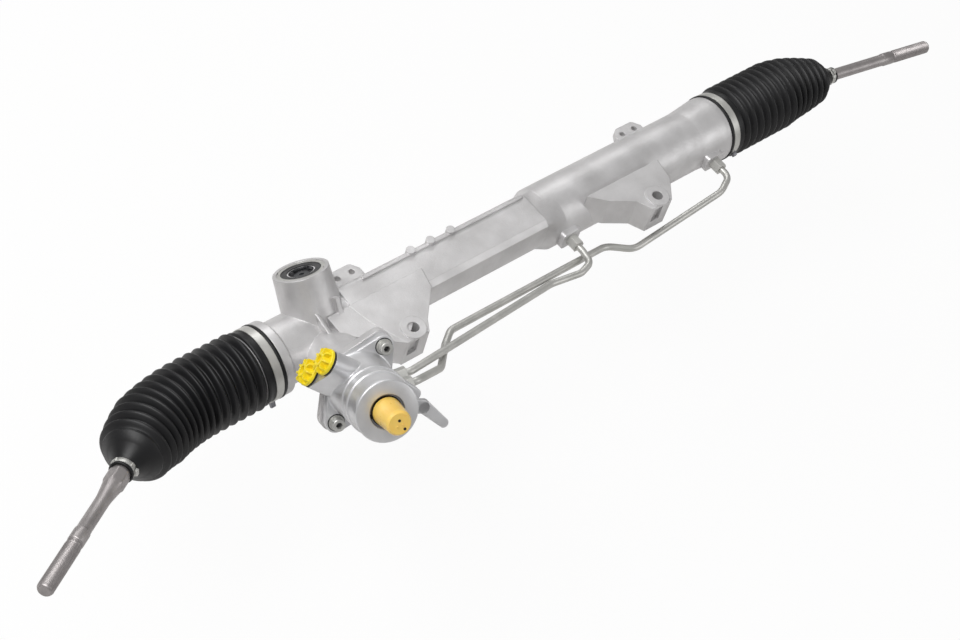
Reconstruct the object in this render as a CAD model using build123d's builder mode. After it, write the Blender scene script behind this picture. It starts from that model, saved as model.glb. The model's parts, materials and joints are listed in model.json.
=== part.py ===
from build123d import *
import os
from math import acos, asin, cos, pi, radians, sin, tan

# Power-assisted rack-and-pinion steering gear.
# Frame: origin at the centre of the two mounting ear holes, on their top spot faces.
# +X runs along the rack towards the cylinder end, +Z along the mounting bolts, upwards.
# The "near" end is the pinion end (-X), the "far" end the cylinder end (+X).

# Mounting ears and the rack axis
ear_spacing = 352.0
ear_hole_r = 6.25
ear_height = 40.0
ear_front = 12.0
ear_left = 17.0
ear_right = 12.0
spot_face_r = 14.0
spot_face_rise = 1.6
ear_window_width = 13.0
ear_window_height = 21.0
ear_window_depth = 4.0
ear_window_from_top = 6.0
rack_behind = 66.5
rack_below = 42.5

# Yoke and pinion, placed from the near ear
yoke_from_ear = 64.0
yoke_tilt = 38.0
pinion_skew = 16.5

# Rack and pinion gear: normal module, teeth, and the clearances of the mesh
gear_module = 2.1
pinion_teeth = 8
pressure_angle = 20.0
profile_shift = 0.5
backlash = 0.25
pinion_tip_cut = 0.65
rack_tooth_depth = 4.0
rack_gap_count = 29
rack_ref_offset = 8.55
pinion_face = 32.0

# Rack bar and the hydraulic cylinder
rack_r = 14.0
rack_bore_r = 17.0
cylinder_bore_r = 22.0
piston_r = 21.6
piston_width = 12.0
ring_width = 4.0
slide_gap = 0.05
seat_gap = 0.02

# Housing, along the rack axis from the yoke (near end) and from the far ear
clamp_near_from_yoke = 78.0
clamp_far_from_ear = 172.0
neck_length = 14.0
neck_r = 38.0
collar_r = 40.5
throat_r = 35.0
tube_r = 24.0
barrel_r = 36.5
flare_r = 40.0
mouth_r = 30.0
mouth_depth = 24.0
cylinder_before_ear = 110.0
cylinder_before_clamp = 30.0
seal_length = 20.0

# Tie rods: one ball joint beyond each clamp, M16 x 1.5 threads
ball_from_clamp = 119.0
ball_r = 14.0
seat_wall = 3.0
seat_drop = 3.0
seat_hole_r = 3.5
socket_r = 21.0
socket_back = 27.0
socket_stud_r = 8.0
socket_stud_length = 18.0
mouth_half_angle = 66.0
lip_angle = 4.5
rod_length = 257.5
rod_r = 7.2
rod_neck_r = 5.4
rod_hex = 17.0
rod_hex_at = 99.0
rod_hex_length = 18.0
thread_r = 8.0
thread_length = 81.0
near_rod_dir = (-0.8155, -0.5168, 0.2603)
far_rod_dir = (0.9899, -0.1304, -0.0557)

# Bellows boots
boot_ridge_r = 44.6
boot_valley_r = 36.0
boot_wall = 1.6
near_folds = 15
far_folds = 14
boot_cone = 20.0
boot_neck = 10.0
boot_end_from_ball = 90.0
boot_bend_r = 150.0
boot_lip_rise = 1.6
clamp_band = 9.0
clamp_wall = 1.2
small_clamp_width = 5.5
near_big_ear_turn = -100.0
far_big_ear_turn = -100.0
near_small_ear_turn = 60.0
far_small_ear_turn = 60.0

# Yoke boss and its plug, heights measured from the rack axis
boss_r = 29.7
boss_root_r = 33.0
boss_height = 71.0
yoke_r = 19.0
lock_ring_r = 25.7
lock_ring_sink = 3.2
plug_r = 21.5
plug_depth = 16.0

# Pinion tower and valve housing, distances along the pinion axis from the rack mesh
tower_r = 32.0
tower_bottom = 46.0
flange_at = 106.0
flange_thickness = 11.0
bolt_radius = 44.0
bolt_turn = 41.0
bolt_r = 4.0
washer_r = 8.0
washer_thickness = 1.6
lug_r = 12.5
valve_face = 198.0
valve_r = 31.5
valve_waist_r = 28.5
valve_bore_r = 20.3
shaft_opening_r = 17.5
bearing_r = 26.0
bearing_width = 15.0
bearing_at = 25.0
bearing_ball_r = 4.0
bearing_ball_count = 10
shaft_r = 12.5
shaft_neck_r = 11.0
journal_r = 6.0
torsion_r = 3.0
torsion_bore_r = 5.2
input_shaft_r = 9.5
sleeve_r = 20.0
sleeve_start = 104.0
sleeve_end = 164.0
shaft_end = 226.0
cap_end = 232.0

# Hose ports on the valve housing, and the steel pipes
port_turn = 135.0
port_offset = 10.0
port_stations = (118.0, 141.0)
port_boss_r = 12.0
port_boss_end = 47.0
port_bore_r = 8.0
plug_cap_r = 13.0
plug_cap_at = 50.0
plug_cap_length = 17.0
pipe_r = 4.0
pipe_nut_r = 7.8
pipe_nut_length = 13.0
inner_port_before_ear = 97.4
outer_port_before_clamp = 39.0
cylinder_port_front = 42.5

# Rear bracket tabs: two holes each
tab_spacing = 18.7
tab_hole_r = 3.4
tab_thickness = 9.0
tab_drop = 20.0
tab_reach = 33.5
near_tab_from_ear = 9.0
far_tab_from_ear = 53.5

# Values worked out from the sizes above
near_ear_x = -ear_spacing / 2
far_ear_x = ear_spacing / 2
mesh_x = near_ear_x - yoke_from_ear
clamp_near_x = mesh_x - clamp_near_from_yoke
clamp_far_x = far_ear_x + clamp_far_from_ear
near_end = clamp_near_x - neck_length
far_end = clamp_far_x + neck_length
near_ball_x = clamp_near_x - ball_from_clamp
far_ball_x = clamp_far_x + ball_from_clamp
pitch_r = gear_module * pinion_teeth / 2
reference_gap = pitch_r + profile_shift * gear_module
mesh_distance = rack_ref_offset + reference_gap
cylinder_start = far_ear_x - cylinder_before_ear
cylinder_end = clamp_far_x - cylinder_before_clamp
piston_x = (cylinder_start + cylinder_end) / 2
cylinder_port_x = (far_ear_x - inner_port_before_ear, clamp_far_x - outer_port_before_clamp)
tab_x = (near_ear_x - near_tab_from_ear, far_ear_x + far_tab_from_ear)

yoke_dir = Vector(0, sin(radians(yoke_tilt)), cos(radians(yoke_tilt)))
pinion_dir = Vector(
    -sin(radians(pinion_skew)),
    -cos(radians(pinion_skew)) * cos(radians(yoke_tilt)),
    cos(radians(pinion_skew)) * sin(radians(yoke_tilt)),
)
across_dir = yoke_dir.cross(pinion_dir)
mesh_point = Vector(mesh_x, rack_behind, -rack_below) - yoke_dir * mesh_distance


def on_rack(x):
    """Plane across the rack axis at x: local x is +Y, local y is +Z."""
    return Plane(origin=(x, rack_behind, -rack_below), x_dir=(0, 1, 0), z_dir=(1, 0, 0))


def on_pinion(s, u=0.0, b=0.0):
    """Plane across the pinion axis, s along it from the mesh; local y points to the rack."""
    origin = mesh_point + pinion_dir * s + across_dir * u + yoke_dir * b
    return Plane(origin=origin, x_dir=across_dir, z_dir=pinion_dir)


def on_yoke(height):
    """Plane across the yoke axis at a height over the rack axis; local x is +X."""
    origin = Vector(mesh_x, rack_behind, -rack_below) + yoke_dir * height
    return Plane(origin=origin, x_dir=(1, 0, 0), z_dir=yoke_dir)


def along(base, direction, distance):
    """Plane across a line through base, at a distance along direction."""
    d = Vector(*direction).normalized()
    return Plane(origin=Vector(*base) + d * distance, z_dir=d)


def half_plane(plane):
    """Plane that holds the axis of plane: local x is the radius, local y the axis."""
    return Plane(origin=plane.origin, x_dir=plane.x_dir, z_dir=plane.x_dir.cross(plane.z_dir))


def disc(plane, radius, length, mode=Mode.ADD):
    """Cylinder that starts on plane and runs along its normal."""
    with BuildSketch(plane) as outline:
        Circle(radius)
    extrude(outline.sketch, amount=length, mode=mode)


def tapered(plane, r_start, r_end, length, mode=Mode.ADD):
    """Cone frustum that starts on plane and runs along its normal."""
    with BuildSketch(plane) as start:
        Circle(r_start)
    with BuildSketch(plane.offset(length)) as end:
        Circle(r_end)
    loft([start.sketch.face(), end.sketch.face()], ruled=True, mode=mode)


def turned(plane, points, mode=Mode.ADD):
    """Solid of revolution about the normal of plane, from (radius, height) points."""
    with BuildSketch(half_plane(plane)) as profile:
        with BuildLine():
            Polyline(*points, close=True)
        make_face()
    revolve(profile.sketch, axis=Axis(plane.origin, plane.z_dir), mode=mode)


def ring(plane, r_in, r_out, length):
    """Plain ring that starts on plane and runs along its normal."""
    turned(plane, [(r_in, 0), (r_out, 0), (r_out, length), (r_in, length)])


def finish(part, label):
    """Label a piece and write it out."""
    part.label = label
    export_step(part, f"parts/{label}.step")
    print(label, "solids", len(part.solids()), "volume", round(part.volume))


os.makedirs("parts", exist_ok=True)
near_ball = (near_ball_x, rack_behind, -rack_below)
far_ball = (far_ball_x, rack_behind, -rack_below)


def ear(x, web):
    """Mounting ear at x: box arm in front, then the plan outline of its web."""
    left = x - ear_left
    right = x + ear_right
    with BuildSketch(Plane.XY.offset(-ear_height)) as outline:
        with BuildLine():
            Polyline((left, -ear_front), (right, -ear_front), *web, close=True)
        make_face()
    extrude(outline.sketch, amount=ear_height - spot_face_rise)


def port_plane(x, y):
    """Plane across an oil port of the barrel: normal +Y, towards the rack axis."""
    return Plane(origin=(x, y, -rack_below), x_dir=(1, 0, 0), z_dir=(0, 1, 0))


# Rack housing: one casting with the near neck, the yoke boss, the pinion tower,
# the flat-topped middle, the hydraulic barrel, the ears, the tabs and the ports.
middle_top = 38.0
middle_front = 32.0
middle_back = 14.0
middle_floor = 1.0
middle_start = mesh_x + 28.0
middle_end = far_ear_x - 132.0
shoulder_length = 34.0
flare_start = clamp_far_x - 52.0
flare_end = clamp_far_x - 16.0
ridge_width = 4.0
ridge_rise = 2.2
pad_r = 5.0
pad_rise = 5.0
pads_from_ear = (60.0, 87.0, 115.0)
port_width = 26.0
port_height = 22.0
port_hole_r = 5.5
boss_rib_width = 5.0
tab_half_width = 16.0
cap_bore_r = 18.0
cap_length = 11.0
needle_r = 11.0
needle_start = -35.0
needle_length = 20.0
tooth_room_r = 15.5
web_back = rack_behind - 10.0

with BuildPart() as rack_housing:
    # tube, barrel and necks, turned about the rack axis
    turned(
        on_rack(0),
        [
            (0, near_end),
            (neck_r, near_end),
            (neck_r, clamp_near_x + clamp_band),
            (collar_r, clamp_near_x + clamp_band),
            (collar_r, clamp_near_x + 2 * clamp_band),
            (throat_r, clamp_near_x + 2 * clamp_band + 4),
            (throat_r, mesh_x + 34),
            (tube_r, mesh_x + 54),
            (tube_r, middle_end - 10),
            (barrel_r, middle_end + shoulder_length / 2),
            (barrel_r, flare_start),
            (flare_r, flare_end),
            (flare_r, clamp_far_x - clamp_band),
            (neck_r, clamp_far_x - clamp_band),
            (neck_r, far_end),
            (0, far_end),
        ],
    )
    # flat-topped middle section, with a skirt down its front
    with BuildSketch(on_rack(middle_start)):
        with BuildLine():
            Polyline(
                (-middle_front, middle_top - 6),
                (-middle_front + 6, middle_top),
                (middle_back, middle_top),
                (middle_back + 7, middle_top - 9),
                (tube_r, 0),
                (tube_r * 0.7, -tube_r * 0.7),
                (0, -tube_r),
                (-tube_r * 0.7, -tube_r * 0.7),
                (-middle_front + 4, -middle_floor),
                (-middle_front, -middle_floor),
                close=True,
            )
        make_face()
    extrude(amount=middle_end - middle_start)
    # shoulder that blends the flat-topped section into the barrel
    with BuildSketch(on_rack(middle_end)):
        with Locations(((middle_back - middle_front) / 2 + 2, middle_top / 2 - 1)):
            RectangleRounded(middle_front + middle_back, middle_top, 6)
    with BuildSketch(on_rack(middle_end + shoulder_length)):
        Circle(barrel_r - 0.5)
    loft(ruled=True)
    # yoke boss
    tapered(on_yoke(0), boss_root_r, boss_r, boss_height)
    # pinion tower with its bolting flange
    disc(on_pinion(-tower_bottom), tower_r, flange_at + tower_bottom)
    with BuildSketch(on_pinion(flange_at - flange_thickness)):
        Circle(tower_r)
        with PolarLocations(bolt_radius, 2, start_angle=bolt_turn):
            Circle(lug_r)
        make_hull()
    extrude(amount=flange_thickness)
    # mounting ears with their webs
    ear(
        near_ear_x,
        [
            (near_ear_x + 20, 1),
            (near_ear_x + 50, 32),
            (near_ear_x + 56, web_back),
            (near_ear_x - 40, web_back),
            (near_ear_x - 34, 30),
        ],
    )
    ear(
        far_ear_x,
        [
            (far_ear_x + 32, 12),
            (far_ear_x + 38, web_back - 16),
            (far_ear_x - 72, web_back - 16),
            (far_ear_x - 53, 22),
            (far_ear_x - 26, 6),
        ],
    )
    for x in (near_ear_x, far_ear_x):
        disc(Plane.XY.offset(-spot_face_rise).move(Location((x, 0, 0))), spot_face_r, spot_face_rise)
    # rear tabs
    for x in tab_x:
        with BuildSketch(Plane.XY.offset(-tab_drop - tab_thickness)):
            with Locations((x, rack_behind + tab_reach)):
                RectangleRounded(2 * tab_half_width, 2 * tab_half_width - 12, 6)
            with Locations((x, rack_behind + tab_reach / 2)):
                Rectangle(2 * tab_half_width + 8, tab_reach)
            make_hull()
        extrude(amount=tab_thickness)
    # port bosses on the front of the barrel
    for x in cylinder_port_x:
        with BuildSketch(port_plane(x, rack_behind - cylinder_port_front)):
            RectangleRounded(port_width, port_height, 5)
        extrude(amount=cylinder_port_front)
    # rib down the front of the yoke boss
    with BuildSketch(on_yoke(0)):
        with Locations((12, -boss_root_r + 3)):
            Rectangle(boss_rib_width, 12)
    extrude(amount=boss_height - 30)
    # ridge and three small pads along the back edge of the flat top
    with BuildSketch(on_rack(middle_start + 30)):
        with Locations((middle_back - ridge_width / 2, middle_top)):
            Rectangle(ridge_width, 2 * ridge_rise)
    extrude(amount=middle_end - middle_start - 34)
    for distance in pads_from_ear:
        pad_plane = Plane.XY.offset(middle_top - rack_below - pad_rise)
        pad_place = Location((near_ear_x + distance, rack_behind + middle_back, 0))
        disc(pad_plane.move(pad_place), pad_r, 2 * pad_rise)
    # bores of the rack, the cylinder and the necks
    disc(on_rack(near_end - 1), rack_bore_r, far_end - near_end + 2, Mode.SUBTRACT)
    disc(on_rack(near_end - 1), mouth_r, mouth_depth + 1, Mode.SUBTRACT)
    disc(on_rack(cylinder_start), cylinder_bore_r, far_end - cylinder_start + 1, Mode.SUBTRACT)
    disc(on_rack(cylinder_start - seal_length), cylinder_bore_r - 1, seal_length + 1, Mode.SUBTRACT)
    disc(on_rack(far_end - mouth_depth / 2), mouth_r, mouth_depth, Mode.SUBTRACT)
    # bore of the yoke, with the thread of its plug and the seat of its lock ring
    disc(on_yoke(0), yoke_r, boss_height + 1, Mode.SUBTRACT)
    disc(on_yoke(boss_height - plug_depth), plug_r, plug_depth + 1, Mode.SUBTRACT)
    disc(on_yoke(boss_height - lock_ring_sink), lock_ring_r + seat_gap, 9, Mode.SUBTRACT)
    # bores of the pinion, its two bearings, the bottom cap and the valve spigot
    disc(on_pinion(-tower_bottom - 1), cap_bore_r, cap_length + 1, Mode.SUBTRACT)
    disc(on_pinion(needle_start), needle_r, needle_length, Mode.SUBTRACT)
    disc(on_pinion(needle_start + needle_length - 1), tooth_room_r, 50, Mode.SUBTRACT)
    disc(on_pinion(bearing_at), bearing_r, flange_at, Mode.SUBTRACT)
    # screw holes in the flange
    with BuildSketch(on_pinion(flange_at - flange_thickness - 1)):
        with PolarLocations(bolt_radius, 2, start_angle=bolt_turn):
            Circle(bolt_r)
    extrude(amount=flange_thickness + 2, mode=Mode.SUBTRACT)
    # ear holes, and the windows in the ears' front and near faces
    for x in (near_ear_x, far_ear_x):
        hole_plane = Plane.XY.offset(-ear_height - 1).move(Location((x, 0, 0)))
        disc(hole_plane, ear_hole_r, ear_height + 2, Mode.SUBTRACT)
        window_z = -ear_window_from_top - ear_window_height / 2
        with Locations((x - ear_window_width / 2, -ear_front, window_z)):
            Box(ear_window_width, 2 * ear_window_depth, ear_window_height, mode=Mode.SUBTRACT)
        with Locations((x - ear_left, 5, window_z)):
            Box(2 * ear_window_depth, ear_window_width, ear_window_height, mode=Mode.SUBTRACT)
    # tab holes
    with BuildSketch(Plane.XY.offset(-tab_drop - tab_thickness - 1)):
        for x in tab_x:
            with Locations((x, rack_behind + tab_reach)):
                with GridLocations(tab_spacing, 1, 2, 1):
                    Circle(tab_hole_r)
    extrude(amount=tab_thickness + 2, mode=Mode.SUBTRACT)
    # oil ports into the barrel
    for x in cylinder_port_x:
        hole_plane = port_plane(x, rack_behind - cylinder_port_front - 1)
        disc(hole_plane, port_hole_r, cylinder_port_front, Mode.SUBTRACT)
finish(rack_housing.part, "rack_housing")

# Yoke group: the yoke that presses the rack into the pinion, its disc springs,
# the threaded plug with a sealing ring, a lock ring and a sight cap in the middle.
yoke_start = 2.0
yoke_top = boss_height - 31.0
spring_floor = boss_height - 37.0
spring_count = 4
spring_thickness = 1.2
spring_cone = 0.55
spring_r = 11.6
spring_hole_r = 5.6
plug_start = boss_height - 30.0
plug_top = boss_height - 1.0
plug_recess_r = 15.0
plug_recess_depth = 6.0
plug_ring_width = 1.6
sight_cap_r = 8.6
sight_cap_rise = 2.6
o_ring_r = 1.5
o_ring_at = boss_height - 22.0
o_ring_squeeze = 0.15

with BuildPart() as yoke:
    disc(on_yoke(yoke_start), yoke_r - slide_gap, yoke_top - yoke_start)
    disc(on_yoke(spring_floor), spring_r + 0.4, yoke_top - spring_floor + 1, Mode.SUBTRACT)
    disc(on_rack(mesh_x - 2 * yoke_r), rack_r + slide_gap, 4 * yoke_r, Mode.SUBTRACT)
finish(yoke.part, "yoke")

with BuildPart() as yoke_spring:
    stack_step = (plug_start - spring_floor) / spring_count
    for i in range(spring_count):
        low, high = (0.0, spring_cone) if i % 2 == 0 else (spring_cone, 0.0)
        base = i * stack_step
        turned(
            on_yoke(spring_floor),
            [
                (spring_hole_r, base + low),
                (spring_r, base + high),
                (spring_r, base + high + spring_thickness),
                (spring_hole_r, base + low + spring_thickness),
            ],
        )
finish(yoke_spring.part, "yoke_spring")

with BuildPart() as yoke_plug:
    disc(on_yoke(plug_start), yoke_r - slide_gap, plug_top - plug_start)
    collar_start = boss_height - plug_depth + seat_gap
    disc(on_yoke(collar_start), plug_r - seat_gap, plug_top - collar_start)
    disc(on_yoke(plug_top - plug_recess_depth), plug_recess_r, plug_recess_depth + 1, Mode.SUBTRACT)
    # groove of the sealing ring
    turned(
        on_yoke(o_ring_at),
        [
            (yoke_r - 2 * o_ring_r, -1.8),
            (yoke_r + 1, -1.8),
            (yoke_r + 1, 1.8),
            (yoke_r - 2 * o_ring_r, 1.8),
        ],
        Mode.SUBTRACT,
    )
    # two spanner holes beside the sight cap
    with BuildSketch(on_yoke(plug_top - plug_recess_depth - 4)):
        with PolarLocations(11.5, 2, start_angle=30):
            Circle(1.3)
    extrude(amount=5, mode=Mode.SUBTRACT)
finish(yoke_plug.part, "yoke_plug")

with BuildPart() as yoke_o_ring:
    with Locations(on_yoke(o_ring_at).location):
        Torus(yoke_r - o_ring_r - 0.02, o_ring_r - o_ring_squeeze / 2)
finish(yoke_o_ring.part, "yoke_o_ring")

with BuildPart() as yoke_plug_ring:
    ring(
        on_yoke(plug_top - plug_recess_depth),
        plug_recess_r - plug_ring_width,
        plug_recess_r - seat_gap,
        plug_recess_depth - 0.6,
    )
finish(yoke_plug_ring.part, "yoke_plug_ring")

with BuildPart() as yoke_sight_cap:
    disc(on_yoke(plug_top - plug_recess_depth), sight_cap_r, sight_cap_rise)
    chamfer(yoke_sight_cap.edges().filter_by(GeomType.CIRCLE).sort_by(Axis.Z)[-1], 0.8)
    with BuildSketch(on_yoke(plug_top - plug_recess_depth + 1)):
        RegularPolygon(3, 6)
    extrude(amount=sight_cap_rise, mode=Mode.SUBTRACT)
finish(yoke_sight_cap.part, "yoke_sight_cap")

with BuildPart() as yoke_lock_ring:
    ring(on_yoke(boss_height - lock_ring_sink), plug_r + seat_gap, lock_ring_r, lock_ring_sink - 0.4)
    with BuildSketch(on_yoke(boss_height - lock_ring_sink)):
        with PolarLocations(lock_ring_r, 6, start_angle=12):
            Rectangle(2.4, 4)
    extrude(amount=lock_ring_sink, mode=Mode.SUBTRACT)
finish(yoke_lock_ring.part, "yoke_lock_ring")

# Rack bar: round bar with slanted teeth opposite the yoke.


def gear_point(radius, angle):
    """Point of the pinion outline; the angle is measured from the tooth that meets the rack."""
    return (radius * sin(angle), radius * cos(angle))


with BuildPart() as rack_bar:
    bar_start = near_ball_x + socket_back
    bar_end = far_ball_x - socket_back
    disc(on_rack(bar_start), rack_r, bar_end - bar_start)
    chamfer(rack_bar.edges().filter_by(GeomType.CIRCLE), 1.0)
    pitch = pi * gear_module
    flank = tan(radians(pressure_angle))
    tip_line = reference_gap - gear_module
    root_line = tip_line + rack_tooth_depth
    toothed = rack_gap_count * pitch / 2
    # the cut slants with the pinion, so it reaches beyond the bar by what the slant takes
    cut_reach = 2 * rack_r + toothed * tan(radians(pinion_skew))
    with BuildSketch(on_pinion(-cut_reach)):
        with BuildLine():
            Polyline(
                (-toothed, tip_line - 2 * rack_r),
                (toothed, tip_line - 2 * rack_r),
                (toothed, tip_line),
                (-toothed, tip_line),
                close=True,
            )
        make_face()
        tip_half = pitch / 4 + (reference_gap - tip_line) * flank
        root_half = pitch / 4 - (root_line - reference_gap) * flank
        for i in range(rack_gap_count):
            middle = (i - (rack_gap_count - 1) / 2) * pitch
            with BuildLine():
                Polyline(
                    (middle - tip_half, tip_line - 0.1),
                    (middle + tip_half, tip_line - 0.1),
                    (middle + tip_half, tip_line),
                    (middle + root_half, root_line),
                    (middle - root_half, root_line),
                    (middle - tip_half, tip_line),
                    close=True,
                )
            make_face()
    extrude(amount=2 * cut_reach, mode=Mode.SUBTRACT)
    # tapped holes for the two ball sockets
    for hole_start in (bar_start - 1, bar_end - socket_stud_length - 1):
        disc(on_rack(hole_start), socket_stud_r + seat_gap, socket_stud_length + 2, Mode.SUBTRACT)
finish(rack_bar.part, "rack_bar")

with BuildPart() as piston:
    ring(on_rack(piston_x - piston_width / 2), rack_r + seat_gap, piston_r, piston_width)
    turned(
        on_rack(piston_x),
        [
            (piston_r - 3, -ring_width / 2),
            (piston_r + 1, -ring_width / 2),
            (piston_r + 1, ring_width / 2),
            (piston_r - 3, ring_width / 2),
        ],
        Mode.SUBTRACT,
    )
finish(piston.part, "piston")

with BuildPart() as piston_ring:
    ring(
        on_rack(piston_x - ring_width / 2 + seat_gap),
        piston_r - 3 + seat_gap,
        cylinder_bore_r - slide_gap,
        ring_width - 2 * seat_gap,
    )
finish(piston_ring.part, "piston_ring")

# Bushes and seals that carry the rack at both ends of the cylinder
inner_bush_length = 8.0
outer_seal_length = 12.0
outer_bush_length = 16.0
end_stop_length = 8.0

with BuildPart() as rack_inner_bush:
    ring(
        on_rack(cylinder_start - seal_length),
        rack_r + slide_gap,
        cylinder_bore_r - 1 - seat_gap,
        inner_bush_length,
    )
finish(rack_inner_bush.part, "rack_inner_bush")

with BuildPart() as rack_inner_seal:
    ring(
        on_rack(cylinder_start - seal_length + inner_bush_length),
        rack_r + slide_gap,
        cylinder_bore_r - 1 - seat_gap,
        seal_length - inner_bush_length,
    )
finish(rack_inner_seal.part, "rack_inner_seal")

with BuildPart() as rack_outer_seal:
    ring(on_rack(cylinder_end), rack_r + slide_gap, cylinder_bore_r - seat_gap, outer_seal_length)
finish(rack_outer_seal.part, "rack_outer_seal")

with BuildPart() as rack_outer_bush:
    ring(
        on_rack(cylinder_end + outer_seal_length),
        rack_r + slide_gap,
        cylinder_bore_r - seat_gap,
        outer_bush_length,
    )
finish(rack_outer_bush.part, "rack_outer_bush")

with BuildPart() as cylinder_end_ring:
    end_ring_at = cylinder_end + outer_seal_length + outer_bush_length
    ring(on_rack(end_ring_at), rack_r + 1, cylinder_bore_r - seat_gap, end_stop_length)
    with BuildSketch(on_rack(end_ring_at + end_stop_length - 3)):
        with PolarLocations(rack_r + 4.5, 2):
            Circle(1.6)
    extrude(amount=4, mode=Mode.SUBTRACT)
finish(cylinder_end_ring.part, "cylinder_end_ring")

# Pinion: eight involute teeth, a journal below them, a shaft with a bearing seat,
# a threaded stretch for the bearing nut and a flange that carries the valve sleeve.
pinion_root_r = reference_gap - gear_module - 0.525
pinion_tip_r = pitch_r + gear_module * (1 + profile_shift) - pinion_tip_cut
pinion_base_r = pitch_r * cos(radians(pressure_angle))
pinion_nut_length = 8.0
nut_r = 17.0
flange_r = 18.0
flange_start = 96.0
flank_points = 6


def involute(angle):
    """Involute function of a pressure angle in radians."""
    return tan(angle) - angle


def tooth_half_angle(radius):
    """Half the angle that a pinion tooth spans at a radius."""
    tooth = gear_module * (pi / 2 + 2 * profile_shift * tan(radians(pressure_angle))) - backlash
    at_radius = acos(min(1.0, pinion_base_r / radius))
    return tooth / (2 * pitch_r) + involute(radians(pressure_angle)) - involute(at_radius)


with BuildPart() as pinion:
    with BuildSketch(on_pinion(-pinion_face / 2)):
        with BuildLine():
            outline = []
            radii = [
                pinion_base_r + (pinion_tip_r - pinion_base_r) * i / (flank_points - 1)
                for i in range(flank_points)
            ]
            for tooth in range(pinion_teeth):
                centre = 2 * pi * tooth / pinion_teeth
                foot = tooth_half_angle(pinion_base_r) - 0.03
                outline.append(gear_point(pinion_root_r, centre - foot))
                for radius in radii:
                    outline.append(gear_point(radius, centre - tooth_half_angle(radius)))
                for radius in reversed(radii):
                    outline.append(gear_point(radius, centre + tooth_half_angle(radius)))
                outline.append(gear_point(pinion_root_r, centre + foot))
            Polyline(*outline, close=True)
        make_face()
    extrude(amount=pinion_face)
    turned(
        on_pinion(0),
        [
            (0, needle_start + 2),
            (journal_r - 0.8, needle_start + 2),
            (journal_r, needle_start + 3),
            (journal_r, -pinion_face / 2),
            (pinion_root_r, -pinion_face / 2),
            (pinion_root_r, pinion_face / 2),
            (pinion_tip_r, pinion_face / 2 + 2),
            (shaft_r + 2, bearing_at - 3),
            (shaft_r + 2, bearing_at),
            (shaft_r, bearing_at),
            (shaft_r, bearing_at + bearing_width),
            (shaft_neck_r, bearing_at + bearing_width),
            (shaft_neck_r, flange_start),
            (flange_r, flange_start),
            (flange_r, sleeve_start),
            (0, sleeve_start),
        ],
    )
    disc(on_pinion(bearing_at - 1), torsion_bore_r, sleeve_start, Mode.SUBTRACT)
finish(pinion.part, "pinion")

with BuildPart() as pinion_nut:
    nut_start = bearing_at + bearing_width
    with BuildSketch(on_pinion(nut_start)):
        RegularPolygon(nut_r, 6)
    extrude(amount=pinion_nut_length)
    disc(on_pinion(nut_start - 1), shaft_neck_r + seat_gap, pinion_nut_length + 2, Mode.SUBTRACT)
finish(pinion_nut.part, "pinion_nut")

# Bearings and seals of the pinion
bearing_race = 3.6

with BuildPart() as pinion_needle_bearing:
    ring(
        on_pinion(needle_start + seat_gap),
        journal_r + slide_gap,
        needle_r - seat_gap,
        needle_length - 3,
    )
finish(pinion_needle_bearing.part, "pinion_needle_bearing")

ball_circle_r = (bearing_r + shaft_r) / 2


def race(r_plain, r_track):
    """Bearing ring between two radii, with the balls' track in the wall at r_track."""
    track_r = bearing_ball_r + slide_gap
    middle = bearing_width / 2
    reach = abs(ball_circle_r - r_track)
    half = (track_r**2 - reach**2) ** 0.5
    deepest = ball_circle_r - track_r if r_track < ball_circle_r else ball_circle_r + track_r
    with BuildSketch(half_plane(on_pinion(bearing_at))) as profile:
        with BuildLine():
            Polyline(
                (r_track, middle - half),
                (r_track, seat_gap),
                (r_plain, seat_gap),
                (r_plain, bearing_width - seat_gap),
                (r_track, bearing_width - seat_gap),
                (r_track, middle + half),
            )
            ThreePointArc((r_track, middle + half), (deepest, middle), (r_track, middle - half))
        make_face()
    revolve(profile.sketch, axis=Axis(mesh_point, pinion_dir))


with BuildPart() as bearing_outer_ring:
    race(bearing_r - seat_gap, bearing_r - bearing_race)
finish(bearing_outer_ring.part, "bearing_outer_ring")

with BuildPart() as bearing_inner_ring:
    race(shaft_r + seat_gap, shaft_r + bearing_race)
finish(bearing_inner_ring.part, "bearing_inner_ring")

with BuildPart() as bearing_balls:
    with Locations(on_pinion(bearing_at + bearing_width / 2).location):
        with PolarLocations(ball_circle_r, bearing_ball_count):
            Sphere(bearing_ball_r)
finish(bearing_balls.part, "bearing_balls")

with BuildPart() as bearing_lock_ring:
    ring(on_pinion(bearing_at + bearing_width), bearing_r - 5, bearing_r - seat_gap, 6)
finish(bearing_lock_ring.part, "bearing_lock_ring")

with BuildPart() as pinion_bottom_cap:
    disc(on_pinion(-tower_bottom - 1.5), cap_bore_r - seat_gap, cap_length + 1.5 - seat_gap)
    with BuildSketch(on_pinion(-tower_bottom - 2)):
        RegularPolygon(8, 6)
    extrude(amount=6, mode=Mode.SUBTRACT)
finish(pinion_bottom_cap.part, "pinion_bottom_cap")

seal_start = flange_at - 20.0
spigot_start = flange_at - 12.0

with BuildPart() as pinion_seal:
    turned(
        on_pinion(seal_start),
        [
            (shaft_neck_r + slide_gap, 0),
            (bearing_r - seat_gap, 0),
            (bearing_r - seat_gap, spigot_start - seal_start),
            (bearing_r - 4, spigot_start - seal_start),
            (bearing_r - 4, 2.5),
            (shaft_neck_r + slide_gap, 2.5),
        ],
    )
finish(pinion_seal.part, "pinion_seal")

# Valve sleeve with four sealing rings, torsion bar and input shaft
sleeve_ring_count = 4
sleeve_ring_width = 2.6
sleeve_ring_depth = 1.4
input_fit_r = 13.0
input_bore_r = 4.0
torsion_start = 24.0
torsion_head = 12.0
torsion_end = 222.0
spline_start = 205.0
spline_r = 9.0
spline_teeth = 24
ring_step = (sleeve_end - sleeve_start) / sleeve_ring_count


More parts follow.
